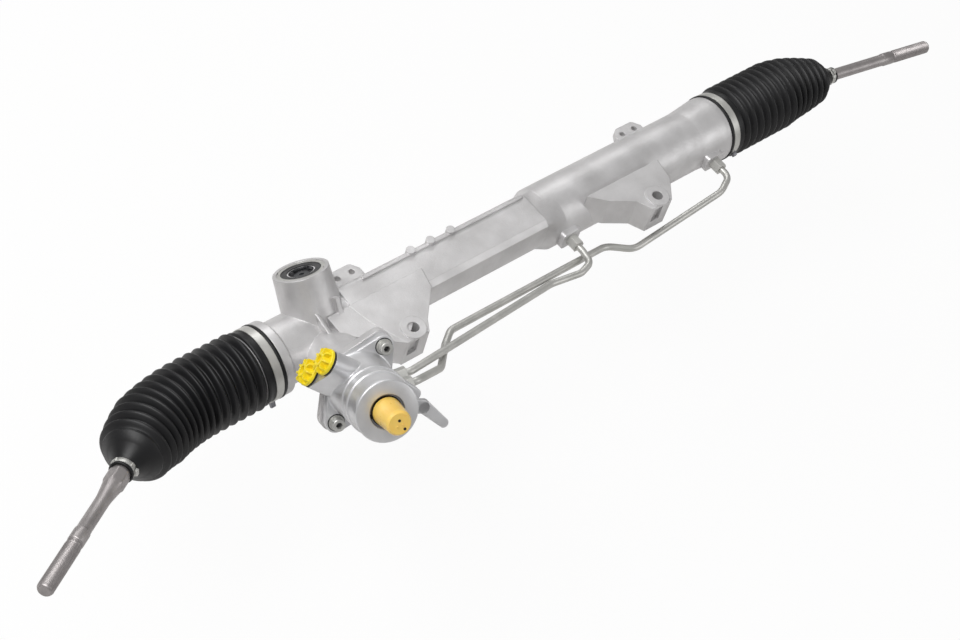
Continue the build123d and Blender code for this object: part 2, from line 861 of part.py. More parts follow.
def sleeve_ring_at(i):
    """Distance along the pinion axis where sealing ring i starts."""
    return sleeve_start + (i + 0.5) * ring_step - sleeve_ring_width / 2


with BuildPart() as valve_sleeve:
    ring(on_pinion(sleeve_start), input_fit_r + slide_gap, sleeve_r, sleeve_end - sleeve_start)
    for i in range(sleeve_ring_count):
        groove = [
            (sleeve_r - sleeve_ring_depth, 0),
            (sleeve_r + 1, 0),
            (sleeve_r + 1, sleeve_ring_width),
            (sleeve_r - sleeve_ring_depth, sleeve_ring_width),
        ]
        turned(on_pinion(sleeve_ring_at(i)), groove, Mode.SUBTRACT)
    # oil holes between the rings
    for i in range(1, sleeve_ring_count):
        plane = on_pinion(sleeve_start + i * ring_step)
        with Locations(plane.location):
            with PolarLocations(sleeve_r - 3, 4):
                Cylinder(1.6, 12, rotation=(0, 90, 0), mode=Mode.SUBTRACT)
finish(valve_sleeve.part, "valve_sleeve")

with BuildPart() as valve_rings:
    for i in range(sleeve_ring_count):
        ring(
            on_pinion(sleeve_ring_at(i) + seat_gap),
            sleeve_r - sleeve_ring_depth + seat_gap,
            valve_bore_r - slide_gap,
            sleeve_ring_width - 2 * seat_gap,
        )
finish(valve_rings.part, "valve_rings")

with BuildPart() as torsion_bar:
    turned(
        on_pinion(0),
        [
            (0, torsion_start),
            (torsion_bore_r - seat_gap, torsion_start),
            (torsion_bore_r - seat_gap, torsion_start + torsion_head),
            (torsion_r, torsion_start + torsion_head + 4),
            (torsion_r, torsion_end - torsion_head),
            (input_bore_r - slide_gap, torsion_end - torsion_head + 2),
            (input_bore_r - slide_gap, torsion_end),
            (0, torsion_end),
        ],
    )
finish(torsion_bar.part, "torsion_bar")

with BuildPart() as input_shaft:
    turned(
        on_pinion(0),
        [
            (input_bore_r, sleeve_start + 2),
            (input_fit_r, sleeve_start + 2),
            (input_fit_r, sleeve_end + 2),
            (input_shaft_r, sleeve_end + 2),
            (input_shaft_r, spline_start),
            (spline_r, spline_start + 1),
            (spline_r, shaft_end - 1),
            (spline_r - 1, shaft_end),
            (input_bore_r, shaft_end),
        ],
    )
    with BuildSketch(on_pinion(spline_start + 3)):
        with PolarLocations(spline_r, spline_teeth):
            Rectangle(1.4, 1.2)
    extrude(amount=shaft_end, mode=Mode.SUBTRACT)
finish(input_shaft.part, "input_shaft")

# Valve housing: flange with two lugs, body, front rim, hose ports, pipe ports,
# and on its right side a small lobe and a bent bracket finger.
valve_flange = 12.0
spigot_wall_r = 26.0
shaft_bearing_at = 166.0
shaft_bearing_r = 15.0
shaft_seal_at = 184.0
snap_ring_at = 194.0
snap_ring_width = 1.6
pipe_port_r = 10.0
pipe_port_end = 34.0
pipe_bore_gap = 0.6
front_pipe_at = 121.0
front_pipe_b = -5.0
rear_pipe_at = 136.0
rear_pipe_b = -10.0
facet_distance = 28.9
facet_start = 10.0
hose_turn = radians(port_turn)
hose_dir = across_dir * cos(hose_turn) + yoke_dir * sin(hose_turn)
hose_side = across_dir * cos(hose_turn - pi / 2) + yoke_dir * sin(hose_turn - pi / 2)


def on_hose(i, distance):
    """Plane across hose port i, at a distance out from the pinion axis."""
    side = (-port_offset, port_offset)[i]
    origin = mesh_point + pinion_dir * port_stations[i] + hose_side * side + hose_dir * distance
    return Plane(origin=origin, x_dir=pinion_dir, z_dir=hose_dir)


def on_pipe_port(s, b, distance):
    """Plane across a pipe port in the side of the valve housing."""
    origin = mesh_point + pinion_dir * s + yoke_dir * b + across_dir * distance
    return Plane(origin=origin, x_dir=pinion_dir, z_dir=across_dir)


with BuildPart() as valve_housing:
    with BuildSketch(on_pinion(flange_at)):
        Circle(tower_r)
        with PolarLocations(bolt_radius, 2, start_angle=bolt_turn):
            Circle(lug_r - 1.5)
        make_hull()
    extrude(amount=valve_flange)
    turned(
        on_pinion(0),
        [
            (0, spigot_start),
            (spigot_wall_r - seat_gap, spigot_start),
            (spigot_wall_r - seat_gap, flange_at),
            (valve_r, flange_at),
            (valve_r, flange_at + valve_flange + 4),
            (valve_waist_r, flange_at + valve_flange + 10),
            (valve_waist_r, valve_face - 20),
            (valve_r, valve_face - 14),
            (valve_r, valve_face - 2),
            (valve_r - 2, valve_face),
            (0, valve_face),
        ],
    )
    # hose port bosses, joined by a web
    for i in range(2):
        disc(on_hose(i, 0), port_boss_r, port_boss_end)
    # pipe port bosses
    disc(on_pipe_port(front_pipe_at, front_pipe_b, 10), pipe_port_r, pipe_port_end - 10)
    disc(on_pipe_port(rear_pipe_at, rear_pipe_b, 10), pipe_port_r, pipe_port_end - 10)
    # curved ribs round the body
    for s in (136.0, 152.0, 168.0):
        inner_r, outer_r = valve_waist_r - 1, valve_r - 0.5
        turned(on_pinion(s), [(inner_r, 0), (outer_r, 0), (outer_r, 3), (inner_r, 3)])
    # lobe on the right side
    with BuildSketch(on_pinion(162)):
        Circle(valve_waist_r - 4)
        with Locations((44, -7)):
            Circle(6.5)
        make_hull()
    extrude(amount=12)
    # bent bracket finger below the lobe
    with BuildSketch(on_pinion(150)):
        with BuildLine():
            Polyline(
                (22, -10),
                (43, -18),
                (50, -30),
                (61, -52),
                (54, -55),
                (42, -34),
                (30, -24),
                (14, -22),
                close=True,
            )
        make_face()
    extrude(amount=9)
    # machined facets on the front rim
    for turn in (20.0, 75.0, 160.0, 215.0, 290.0):
        direction = across_dir * cos(radians(turn)) + yoke_dir * sin(radians(turn))
        facet_middle = on_pinion(valve_face - facet_start / 2).origin + direction * (facet_distance + 5)
        facet = Plane(origin=facet_middle, x_dir=pinion_dir, z_dir=direction)
        with Locations(facet.location):
            Box(2 * facet_start, 40, 10, mode=Mode.SUBTRACT)
    # bores
    disc(on_pinion(spigot_start - 1), valve_bore_r, shaft_bearing_at - spigot_start + 1, Mode.SUBTRACT)
    disc(on_pinion(shaft_bearing_at - 1), shaft_bearing_r, valve_face, Mode.SUBTRACT)
    disc(on_pinion(shaft_seal_at), shaft_opening_r, valve_face, Mode.SUBTRACT)
    disc(on_pinion(snap_ring_at), shaft_opening_r + 1, snap_ring_width, Mode.SUBTRACT)
    with BuildSketch(on_pinion(flange_at - 1)):
        with PolarLocations(bolt_radius, 2, start_angle=bolt_turn):
            Circle(bolt_r + 0.4)
    extrude(amount=valve_flange + 2, mode=Mode.SUBTRACT)
    for i in range(2):
        disc(on_hose(i, 12), port_bore_r, port_boss_end, Mode.SUBTRACT)
    for s, b in ((front_pipe_at, front_pipe_b), (rear_pipe_at, rear_pipe_b)):
        disc(on_pipe_port(s, b, 12), pipe_r + pipe_bore_gap, pipe_port_end, Mode.SUBTRACT)
finish(valve_housing.part, "valve_housing")

with BuildPart() as shaft_needle_bearing:
    ring(
        on_pinion(shaft_bearing_at + 1),
        input_shaft_r + slide_gap,
        shaft_bearing_r - seat_gap,
        shaft_seal_at - shaft_bearing_at - 2,
    )
finish(shaft_needle_bearing.part, "shaft_needle_bearing")

with BuildPart() as shaft_seal:
    seal_depth = snap_ring_at - shaft_seal_at
    turned(
        on_pinion(shaft_seal_at),
        [
            (input_shaft_r + slide_gap, 0),
            (shaft_opening_r - seat_gap, 0),
            (shaft_opening_r - seat_gap, seal_depth),
            (input_shaft_r + 3, seal_depth),
            (input_shaft_r + 3, seal_depth - 3),
            (input_shaft_r + slide_gap, seal_depth - 3),
        ],
    )
finish(shaft_seal.part, "shaft_seal")

with BuildPart() as snap_ring:
    ring(
        on_pinion(snap_ring_at + seat_gap),
        shaft_opening_r - 2,
        shaft_opening_r + 1 - seat_gap,
        snap_ring_width - 2 * seat_gap,
    )
    with Locations(on_pinion(snap_ring_at + 1, -shaft_opening_r, 0).location):
        Box(10, 5, 4, mode=Mode.SUBTRACT)
finish(snap_ring.part, "snap_ring")

# Two cap screws with washers that hold the valve housing
screw_head_r = 6.5
screw_head_height = 8.0
screw_reach = 12.0

with BuildPart() as screw_washers:
    with BuildSketch(on_pinion(flange_at + valve_flange)):
        with PolarLocations(bolt_radius, 2, start_angle=bolt_turn):
            Circle(washer_r)
            Circle(bolt_r + 0.2, mode=Mode.SUBTRACT)
    extrude(amount=washer_thickness)
finish(screw_washers.part, "screw_washers")

with BuildPart() as valve_screws:
    head_at = flange_at + valve_flange + washer_thickness
    with BuildSketch(on_pinion(head_at)):
        with PolarLocations(bolt_radius, 2, start_angle=bolt_turn):
            Circle(screw_head_r)
    extrude(amount=screw_head_height)
    chamfer(valve_screws.edges().filter_by(GeomType.CIRCLE).group_by(Axis(mesh_point, pinion_dir))[-1], 0.6)
    with BuildSketch(on_pinion(flange_at - screw_reach + 1)):
        with PolarLocations(bolt_radius, 2, start_angle=bolt_turn):
            Circle(bolt_r - seat_gap)
    extrude(amount=head_at - flange_at + screw_reach)
    with BuildSketch(on_pinion(head_at + screw_head_height - 5)):
        with PolarLocations(bolt_radius, 2, start_angle=bolt_turn):
            RegularPolygon(3.45, 6)
    extrude(amount=6, mode=Mode.SUBTRACT)
finish(valve_screws.part, "valve_screws")

# Transport caps: one over the splined end of the input shaft, one in each hose port
cap_start = 197.5
cap_wall = 1.5
cap_r_start = 14.5
cap_r_end = 12.5
cap_tip_length = 3.0
dot_r = 1.1
grip_count = 20

with BuildPart() as shaft_cap:
    turned(
        on_pinion(0),
        [
            (input_shaft_r + slide_gap, cap_start),
            (cap_r_start, cap_start),
            (cap_r_end, cap_end - cap_tip_length),
            (cap_r_end - 2, cap_end),
            (0, cap_end),
            (0, cap_end - cap_wall),
            (cap_r_end - 2.5, cap_end - cap_wall - 1),
            (cap_r_end - cap_wall, cap_end - cap_tip_length - 1),
            (cap_r_start - cap_wall - 0.2, cap_start + 5),
            (input_shaft_r + slide_gap, cap_start + 5),
        ],
    )
    for side in (-3.0, 3.0):
        disc(on_pinion(cap_end, side, -2), dot_r, 0.8)
finish(shaft_cap.part, "shaft_cap")


def port_cap(i):
    """Plug of hose port i: knurled head, narrow collar and a hollow stem in the bore."""
    disc(on_hose(i, plug_cap_at), plug_cap_r, plug_cap_length)
    disc(on_hose(i, port_boss_end), port_bore_r + 2.5, plug_cap_at - port_boss_end)
    disc(on_hose(i, port_boss_end - 14), port_bore_r - slide_gap, 15)
    with BuildSketch(on_hose(i, plug_cap_at + 2)) as grips:
        with PolarLocations(plug_cap_r, grip_count):
            Circle(0.9)
    extrude(grips.sketch, amount=plug_cap_length, mode=Mode.SUBTRACT)
    disc(on_hose(i, plug_cap_at + plug_cap_length - 2), plug_cap_r - 4, 3, Mode.SUBTRACT)
    disc(on_hose(i, port_boss_end - 15), port_bore_r - 2, 16, Mode.SUBTRACT)


with BuildPart() as lower_port_cap:
    port_cap(0)
finish(lower_port_cap.part, "lower_port_cap")

with BuildPart() as upper_port_cap:
    port_cap(1)
finish(upper_port_cap.part, "upper_port_cap")

# Steel pipes from the valve housing to the two ends of the cylinder
pipe_start = 27.0
pipe_first_bend = 52.0
pipe_bend_r = 12.0
front_pipe_z = -42.0
crossing_z = -58.5


def port_point(s, b, distance):
    """Point on the axis of a pipe port."""
    return tuple(on_pipe_port(s, b, distance).origin)


def pipe(path_points, bends):
    """Pipe along straight runs joined by bends."""
    with BuildLine() as path:
        FilletPolyline(*path_points, radius=bends)
    start = Plane(origin=path.line @ 0, z_dir=path.line % 0)
    with BuildSketch(start) as section:
        Circle(pipe_r)
    sweep(section.sketch, path=path.line)


front_route = [
    port_point(front_pipe_at, front_pipe_b, pipe_start),
    port_point(front_pipe_at, front_pipe_b, pipe_first_bend),
    (far_ear_x - 159.5, -12.6, front_pipe_z),
    (far_ear_x - 119.3, -18.8, front_pipe_z),
    (far_ear_x - 100.0, -13.0, front_pipe_z),
    (cylinder_port_x[0], 4.0, front_pipe_z),
    (cylinder_port_x[0], rack_behind - cylinder_port_front + 6, front_pipe_z),
]
rear_route = [
    port_point(rear_pipe_at, rear_pipe_b, pipe_start),
    port_point(rear_pipe_at, rear_pipe_b, pipe_first_bend),
    (near_ear_x - 9.0, -55.6, 2.0),
    (near_ear_x + 22.4, -28.2, -14.0),
    (near_ear_x + 42.0, -14.5, -18.5),
    (far_ear_x - 57.1, 3.4, crossing_z),
    (far_ear_x - 30.6, -16.9, crossing_z),
    (clamp_far_x - 63.5, -14.1, -rack_below),
    (cylinder_port_x[1], -2.0, -rack_below),
    (cylinder_port_x[1], rack_behind - cylinder_port_front + 6, -rack_below),
]

with BuildPart() as front_pipe:
    pipe(front_route, [pipe_bend_r, 30.0, 16.0, 12.0, 10.0])
finish(front_pipe.part, "front_pipe")

with BuildPart() as rear_pipe:
    pipe(rear_route, [pipe_bend_r, 20.0, 20.0, 20.0, 24.0, 24.0, 30.0, 14.0])
finish(rear_pipe.part, "rear_pipe")


def pipe_nut(plane):
    """Tube nut: hexagon with a collar, bored for the pipe."""
    with BuildSketch(plane) as hexagon:
        RegularPolygon(pipe_nut_r, 6)
    extrude(hexagon.sketch, amount=pipe_nut_length)
    disc(plane.offset(-1), pipe_r + seat_gap, pipe_nut_length + 2, Mode.SUBTRACT)


with BuildPart() as valve_tube_nuts:
    for s, b in ((front_pipe_at, front_pipe_b), (rear_pipe_at, rear_pipe_b)):
        pipe_nut(on_pipe_port(s, b, pipe_port_end))
finish(valve_tube_nuts.part, "valve_tube_nuts")

with BuildPart() as cylinder_tube_nuts:
    nut_front = rack_behind - cylinder_port_front - pipe_nut_length
    pipe_nut(Plane(origin=(cylinder_port_x[0], nut_front, front_pipe_z), x_dir=(1, 0, 0), z_dir=(0, 1, 0)))
    pipe_nut(Plane(origin=(cylinder_port_x[1], nut_front, -rack_below), x_dir=(1, 0, 0), z_dir=(0, 1, 0)))
finish(cylinder_tube_nuts.part, "cylinder_tube_nuts")


# Inner ball joints
def socket_plane(ball, height):
    """Plane across the rack axis at a ball, normal pointing out of the housing."""
    out = 1 if ball[0] > 0 else -1
    return Plane(
        origin=(ball[0] + out * height, rack_behind, -rack_below),
        x_dir=(0, 1, 0),
        z_dir=(out, 0, 0),
    )


def ball_socket(ball):
    """Steel cup that screws into the rack end and holds the ball in its seat."""
    lip_from = 90.0 - mouth_half_angle - lip_angle
    lip_to = 90.0 - mouth_half_angle
    cavity_r = ball_r + seat_wall + slide_gap
    lip_r = ball_r + slide_gap
    mouth_end = 1.5 * socket_r
    turned(
        socket_plane(ball, 0),
        [
            (0, -socket_back),
            (16, -socket_back),
            (socket_r, -socket_back + 5),
            (socket_r, 2),
            (socket_r - 2, 8.4),
            (0, 8.4),
        ],
    )
    with BuildSketch(half_plane(socket_plane(ball, 0))) as cavity:
        with BuildLine():
            CenterArc((0, 0), cavity_r, -90, 90 + lip_from)
            Line(
                (cavity_r * cos(radians(lip_from)), cavity_r * sin(radians(lip_from))),
                (lip_r * cos(radians(lip_from)), lip_r * sin(radians(lip_from))),
            )
            CenterArc((0, 0), lip_r, lip_from, lip_angle)
            Polyline(
                (lip_r * cos(radians(lip_to)), lip_r * sin(radians(lip_to))),
                (mouth_end * cos(radians(lip_to)), mouth_end * sin(radians(lip_to))),
                (0, mouth_end * sin(radians(lip_to))),
                (0, -cavity_r),
            )
        make_face()
    axis = socket_plane(ball, 0)
    revolve(cavity.sketch, axis=Axis(axis.origin, axis.z_dir), mode=Mode.SUBTRACT)
    disc(socket_plane(ball, -socket_back - socket_stud_length), socket_stud_r, socket_stud_length + 1)
    # spanner flats
    for side in (-1, 1):
        flat = socket_plane(ball, -socket_back + 10)
        with Locations(Location(flat.origin + Vector(0, 0, side * (socket_r + 3)))):
            Box(10, 40, 10, mode=Mode.SUBTRACT)


def seat_arc(radius):
    """Arc of the seat's wall: from its rim down to the hole in its floor."""
    rim = asin(seat_drop / radius)
    hole = acos(seat_hole_r / radius)
    angles = (rim, (rim + hole) / 2, hole)
    return [(radius * cos(angle), -radius * sin(angle)) for angle in angles]


def ball_seat(ball):
    """Plastic cup behind the ball, with its rim short of the ball's middle."""
    outer = seat_arc(ball_r + seat_wall)
    inner = seat_arc(ball_r + slide_gap)
    axis = socket_plane(ball, 0)
    with BuildSketch(half_plane(axis)) as profile:
        with BuildLine():
            ThreePointArc(*outer)
            Line(outer[-1], inner[-1])
            ThreePointArc(*reversed(inner))
            Line(inner[0], outer[0])
        make_face()
    revolve(profile.sketch, axis=Axis(axis.origin, axis.z_dir))


def tie_rod(ball, direction):
    """Tie rod: ball, neck, shank with a hexagon, threaded end with a groove."""
    base = along(ball, direction, 0)
    thread_start = rod_length - thread_length
    neck_start = (ball_r**2 - rod_neck_r**2) ** 0.5
    with BuildSketch(half_plane(base)) as profile:
        with BuildLine():
            ThreePointArc((0, -ball_r), (ball_r, 0), (rod_neck_r, neck_start))
            Polyline(
                (rod_neck_r, neck_start),
                (rod_neck_r, ball_r + 6),
                (rod_r, ball_r + 16),
                (rod_r, thread_start),
                (thread_r, thread_start + 1),
                (thread_r, thread_start + 16),
                (thread_r - 1.2, thread_start + 16.8),
                (thread_r - 1.2, thread_start + 18.2),
                (thread_r, thread_start + 19),
                (thread_r, rod_length - 1.5),
                (thread_r - 1.5, rod_length),
                (0, rod_length),
                (0, -ball_r),
            )
        make_face()
    revolve(profile.sketch, axis=Axis(base.origin, base.z_dir))
    with BuildSketch(along(ball, direction, rod_hex_at)) as hexagon:
        RegularPolygon(rod_hex / 2, 6, major_radius=False)
    extrude(hexagon.sketch, amount=rod_hex_length)


with BuildPart() as near_ball_socket:
    ball_socket(near_ball)
finish(near_ball_socket.part, "near_ball_socket")

with BuildPart() as far_ball_socket:
    ball_socket(far_ball)
finish(far_ball_socket.part, "far_ball_socket")

with BuildPart() as near_ball_seat:
    ball_seat(near_ball)
finish(near_ball_seat.part, "near_ball_seat")

with BuildPart() as far_ball_seat:
    ball_seat(far_ball)
finish(far_ball_seat.part, "far_ball_seat")

with BuildPart() as near_tie_rod:
    tie_rod(near_ball, near_rod_dir)
finish(near_tie_rod.part, "near_tie_rod")

with BuildPart() as far_tie_rod:
    tie_rod(far_ball, far_rod_dir)
finish(far_tie_rod.part, "far_tie_rod")


# Bellows boots: a centre line that runs straight from the housing and then bends
# round the ball towards the tie rod, with ridges and valleys in turn.
def boot_plane(start_x, ball, direction, t):
    """Plane across the boot's centre line at length t from the housing's end."""
    out = Vector(1 if ball[0] > 0 else -1, 0, 0)
    rod = Vector(*direction).normalized()
    turn = radians(out.get_angle(rod))
    tangent = boot_bend_r * tan(turn / 2)
    straight = abs(ball[0] - start_x) - tangent
    side = (rod - out * out.dot(rod)).normalized()
    start = Vector(start_x, rack_behind, -rack_below)
    if t <= straight:
        origin = start + out * t
        heading = out
    elif t <= straight + boot_bend_r * turn:
        a = (t - straight) / boot_bend_r
        origin = start + out * (straight + boot_bend_r * sin(a)) + side * (boot_bend_r * (1 - cos(a)))
        heading = out * cos(a) + side * sin(a)
    else:
        origin = Vector(*ball) + rod * (tangent + t - straight - boot_bend_r * turn)
        heading = rod
    return Plane(origin=origin, x_dir=out.cross(side), z_dir=heading)


def boot_length(start_x, ball, direction):
    """Length of the boot's centre line from the housing's end to its small end."""
    out = Vector(1 if ball[0] > 0 else -1, 0, 0)
    turn = radians(out.get_angle(Vector(*direction)))
    tangent = boot_bend_r * tan(turn / 2)
    return abs(ball[0] - start_x) - 2 * tangent + boot_bend_r * turn + boot_end_from_ball


def boot(start_x, ball, direction, folds, ridge_at):
    """Hollow bellows with its two cuffs; ridge_at gives a fold's ridge radius."""
    length = boot_length(start_x, ball, direction)
    folded = length - boot_cone - boot_neck
    small_r = rod_r + slide_gap + boot_wall
    sections = [(0.0, neck_r + boot_wall)]
    for i in range(folds):
        ridge = ridge_at(i)
        sections.append(((i + 0.5) * folded / folds, ridge))
        sections.append(((i + 1) * folded / folds, ridge - boot_ridge_r + boot_valley_r))
    last_valley = sections[-1][1]
    sections.append((folded + 2, last_valley + 1))
    sections.append((folded + boot_cone, small_r + 0.4))
    outer = []
    inner = []
    for t, radius in sections:
        plane = boot_plane(start_x, ball, direction, t)
        with BuildSketch(plane) as outer_circle:
            Circle(radius)
        with BuildSketch(plane) as inner_circle:
            Circle(max(radius - 2 * boot_wall, rod_r + slide_gap + 0.4))
        outer.append(outer_circle.sketch.face())
        inner.append(inner_circle.sketch.face())
    loft(outer, ruled=True)
    # small cuff on the rod and big cuff on the housing's neck, each with a lip
    neck_plane = along(ball, direction, boot_end_from_ball - boot_neck)
    disc(neck_plane, small_r, boot_neck)
    disc(neck_plane.offset(boot_neck - 1.6), small_r + 1.2, 1.6)
    cuff = Plane(
        origin=(start_x, rack_behind, -rack_below),
        x_dir=(0, 1, 0),
        z_dir=(-1 if ball[0] > 0 else 1, 0, 0),
    )
    cuff_length = neck_length + clamp_band - 0.3
    disc(cuff, neck_r + boot_wall, cuff_length)
    disc(cuff.offset(cuff_length - 4), neck_r + boot_wall + boot_lip_rise, 4)
    loft(inner, ruled=True, mode=Mode.SUBTRACT)
    disc(neck_plane.offset(-2), rod_r + slide_gap, boot_neck + 3, Mode.SUBTRACT)
    disc(cuff, neck_r + seat_gap, cuff_length + 1, Mode.SUBTRACT)


def near_ridge(i):
    """Every fold of the near boot has the same ridge."""
    return boot_ridge_r


def far_ridge(i):
    """The far boot's folds taper over its outer part."""
    full = far_folds // 2
    return far_ridge_r - max(0, i - full) * far_ridge_taper


far_ridge_r = 43.0
far_ridge_taper = 1.7

with BuildPart() as near_boot:
    boot(near_end, near_ball, near_rod_dir, near_folds, near_ridge)
finish(near_boot.part, "near_boot")

with BuildPart() as far_boot:
    boot(far_end, far_ball, far_rod_dir, far_folds, far_ridge)
finish(far_boot.part, "far_boot")


# Boot clamps: a wide band on each big cuff and a narrow one on each small cuff,
# each with its crimped ear
def clamp(plane, radius, width, ear_height_out, turn):
    """Band round a cuff, starting on plane, with its ear at an angle."""
    disc(plane, radius + clamp_wall, width)
    x = radius + ear_height_out / 2
    with BuildSketch(plane.offset(width * 0.15)) as ear_block:
        with Locations((x * cos(radians(turn)), x * sin(radians(turn)))):
            RectangleRounded(ear_height_out + 1, 6.5, 1.0, rotation=turn)
    extrude(ear_block.sketch, amount=width * 0.7)
    disc(plane.offset(-1), radius + seat_gap, width + 2, Mode.SUBTRACT)


big_cuff_r = neck_r + boot_wall
small_cuff_r = rod_r + slide_gap + boot_wall
small_clamp_at = boot_end_from_ball - boot_neck + 1.5

with BuildPart() as near_big_clamp:
    clamp(on_rack(clamp_near_x - clamp_band / 2), big_cuff_r, clamp_band, 5.5, near_big_ear_turn)
finish(near_big_clamp.part, "near_big_clamp")

with BuildPart() as far_big_clamp:
    clamp(on_rack(clamp_far_x - clamp_band / 2), big_cuff_r, clamp_band, 5.5, far_big_ear_turn)
finish(far_big_clamp.part, "far_big_clamp")

with BuildPart() as near_small_clamp:
    near_clamp_plane = along(near_ball, near_rod_dir, small_clamp_at)
    clamp(near_clamp_plane, small_cuff_r, small_clamp_width, 4.5, near_small_ear_turn)
finish(near_small_clamp.part, "near_small_clamp")

with BuildPart() as far_small_clamp:
    far_clamp_plane = along(far_ball, far_rod_dir, small_clamp_at)
    clamp(far_clamp_plane, small_cuff_r, small_clamp_width, 4.5, far_small_ear_turn)
finish(far_small_clamp.part, "far_small_clamp")
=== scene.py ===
import json
import math

import bmesh
import bpy
from mathutils import Matrix, Vector


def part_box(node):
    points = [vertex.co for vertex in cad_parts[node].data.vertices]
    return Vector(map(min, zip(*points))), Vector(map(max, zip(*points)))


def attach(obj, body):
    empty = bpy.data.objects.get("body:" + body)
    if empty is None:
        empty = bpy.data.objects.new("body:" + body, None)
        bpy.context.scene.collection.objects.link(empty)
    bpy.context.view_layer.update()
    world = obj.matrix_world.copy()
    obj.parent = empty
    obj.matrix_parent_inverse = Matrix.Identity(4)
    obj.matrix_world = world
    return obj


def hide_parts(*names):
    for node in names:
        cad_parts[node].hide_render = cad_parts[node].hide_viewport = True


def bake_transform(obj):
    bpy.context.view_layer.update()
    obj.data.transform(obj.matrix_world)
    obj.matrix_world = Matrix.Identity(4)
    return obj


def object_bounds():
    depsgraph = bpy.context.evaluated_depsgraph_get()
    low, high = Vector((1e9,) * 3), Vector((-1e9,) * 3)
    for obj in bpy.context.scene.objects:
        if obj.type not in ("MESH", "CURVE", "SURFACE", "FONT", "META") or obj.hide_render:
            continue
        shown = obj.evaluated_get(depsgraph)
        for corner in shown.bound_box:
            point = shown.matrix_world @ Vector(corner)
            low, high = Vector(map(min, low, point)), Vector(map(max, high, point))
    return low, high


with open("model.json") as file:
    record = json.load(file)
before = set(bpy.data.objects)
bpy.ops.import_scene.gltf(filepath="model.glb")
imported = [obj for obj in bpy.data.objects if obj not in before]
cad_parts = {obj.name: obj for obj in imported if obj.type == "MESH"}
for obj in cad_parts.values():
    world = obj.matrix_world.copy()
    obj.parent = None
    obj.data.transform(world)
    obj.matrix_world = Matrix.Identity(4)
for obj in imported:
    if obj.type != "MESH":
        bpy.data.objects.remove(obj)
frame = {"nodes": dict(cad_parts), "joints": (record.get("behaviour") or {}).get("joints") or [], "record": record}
cad_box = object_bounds()
nodes = frame["nodes"]
joints = {joint["name"]: joint for joint in frame["joints"]}
MM = 0.001
SHARP_EDGE = math.radians(35)

# Places taken from the frame: the ball joints, the rods' directions and the housing's ends
near_ball = Vector(joints["near_ball_lift"]["pos_m"])
far_ball = Vector(joints["far_ball_lift"]["pos_m"])
mounts = {mount["name"]: mount for mount in frame["record"]["mounts"]}
near_dir = Vector(mounts["near_rod_thread"]["axis"]).normalized()
far_dir = Vector(mounts["far_rod_thread"]["axis"]).normalized()
housing_low, housing_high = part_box("rack_housing")
near_end_x = housing_low.x
far_end_x = housing_high.x

# Axes of the pinion, the hose ports and the yoke
mesh_point = Vector(joints["pinion_spin"]["pos_m"])
pinion_dir = Vector(joints["pinion_spin"]["axis"]).normalized()
hose_dir = Vector(joints["lower_port_cap_pull"]["axis"]).normalized()
hose_side = hose_dir.cross(pinion_dir)
HOSE_TURN = math.radians(135)
across_dir = (hose_dir * math.cos(HOSE_TURN) + hose_side * math.sin(HOSE_TURN)).normalized()
yoke_dir = pinion_dir.cross(across_dir)

# Camera: its place, directions and lens were fitted to the photograph
CAMERA_PLACE = (-1.0813, -0.7163, 1.4769)
CAMERA_RIGHT = (0.75278, -0.62606, 0.20342)
CAMERA_UP = (0.41389, 0.69045, 0.59330)
CAMERA_BACK = (-0.51188, -0.36242, 0.77887)
CAMERA_LENS = 69.24

# Studio: the floor's place and size, and how white the world and the floor are to which rays
FLOOR_DROP = 0.16
FLOOR_HALF_SIZE = 6.0
WORLD_LIGHT = 0.20
GLOSSY_SHARE = 0.30
FLOOR_GLOSSY_SHARE = 0.18
FLOOR_WHITE = 0.93


def add_object(name, data):
    """New object in the scene."""
    item = bpy.data.objects.new(name, data)
    bpy.context.scene.collection.objects.link(item)
    return item


def make_camera():
    """Camera at the photograph's viewing angle."""
    camera = add_object("camera", bpy.data.cameras.new("camera"))
    columns = [Vector(v).normalized() for v in (CAMERA_RIGHT, CAMERA_UP, CAMERA_BACK)]
    turn = Matrix(columns).transposed().to_4x4()
    camera.matrix_world = Matrix.Translation(CAMERA_PLACE) @ turn
    camera.data.sensor_width = 36.0
    camera.data.lens = CAMERA_LENS
    camera.data.clip_start = 0.05
    camera.data.clip_end = 50.0
    bpy.context.scene.camera = camera


def area_light(name, place, target, size, watts):
    """Soft rectangular lamp that looks at a point."""
    lamp = bpy.data.lights.new(name, "AREA")
    lamp.shape = "RECTANGLE"
    lamp.size, lamp.size_y = size
    lamp.energy = watts
    holder = add_object(name, lamp)
    holder.location = place
    holder.rotation_euler = (Vector(target) - Vector(place)).to_track_quat("-Z", "Y").to_euler()


def seen_share(tree, glossy, most):
    """Share of white that a ray sees: the most for camera and clear rays, less for glossy ones."""
    path = tree.nodes.new("ShaderNodeLightPath")
    total = path.outputs["Is Camera Ray"]
    for name, weight in (("Is Glossy Ray", glossy), ("Is Transmission Ray", 1.0)):
        step = tree.nodes.new("ShaderNodeMath")
        step.operation = "MULTIPLY_ADD"
        step.inputs[1].default_value = weight
        tree.links.new(path.outputs[name], step.inputs[0])
        tree.links.new(total, step.inputs[2])
        total = step.outputs[0]
    cut = tree.nodes.new("ShaderNodeMath")
    cut.operation = "MULTIPLY"
    cut.use_clamp = True
    cut.inputs[1].default_value = most
    tree.links.new(total, cut.inputs[0])
    return cut.outputs[0]


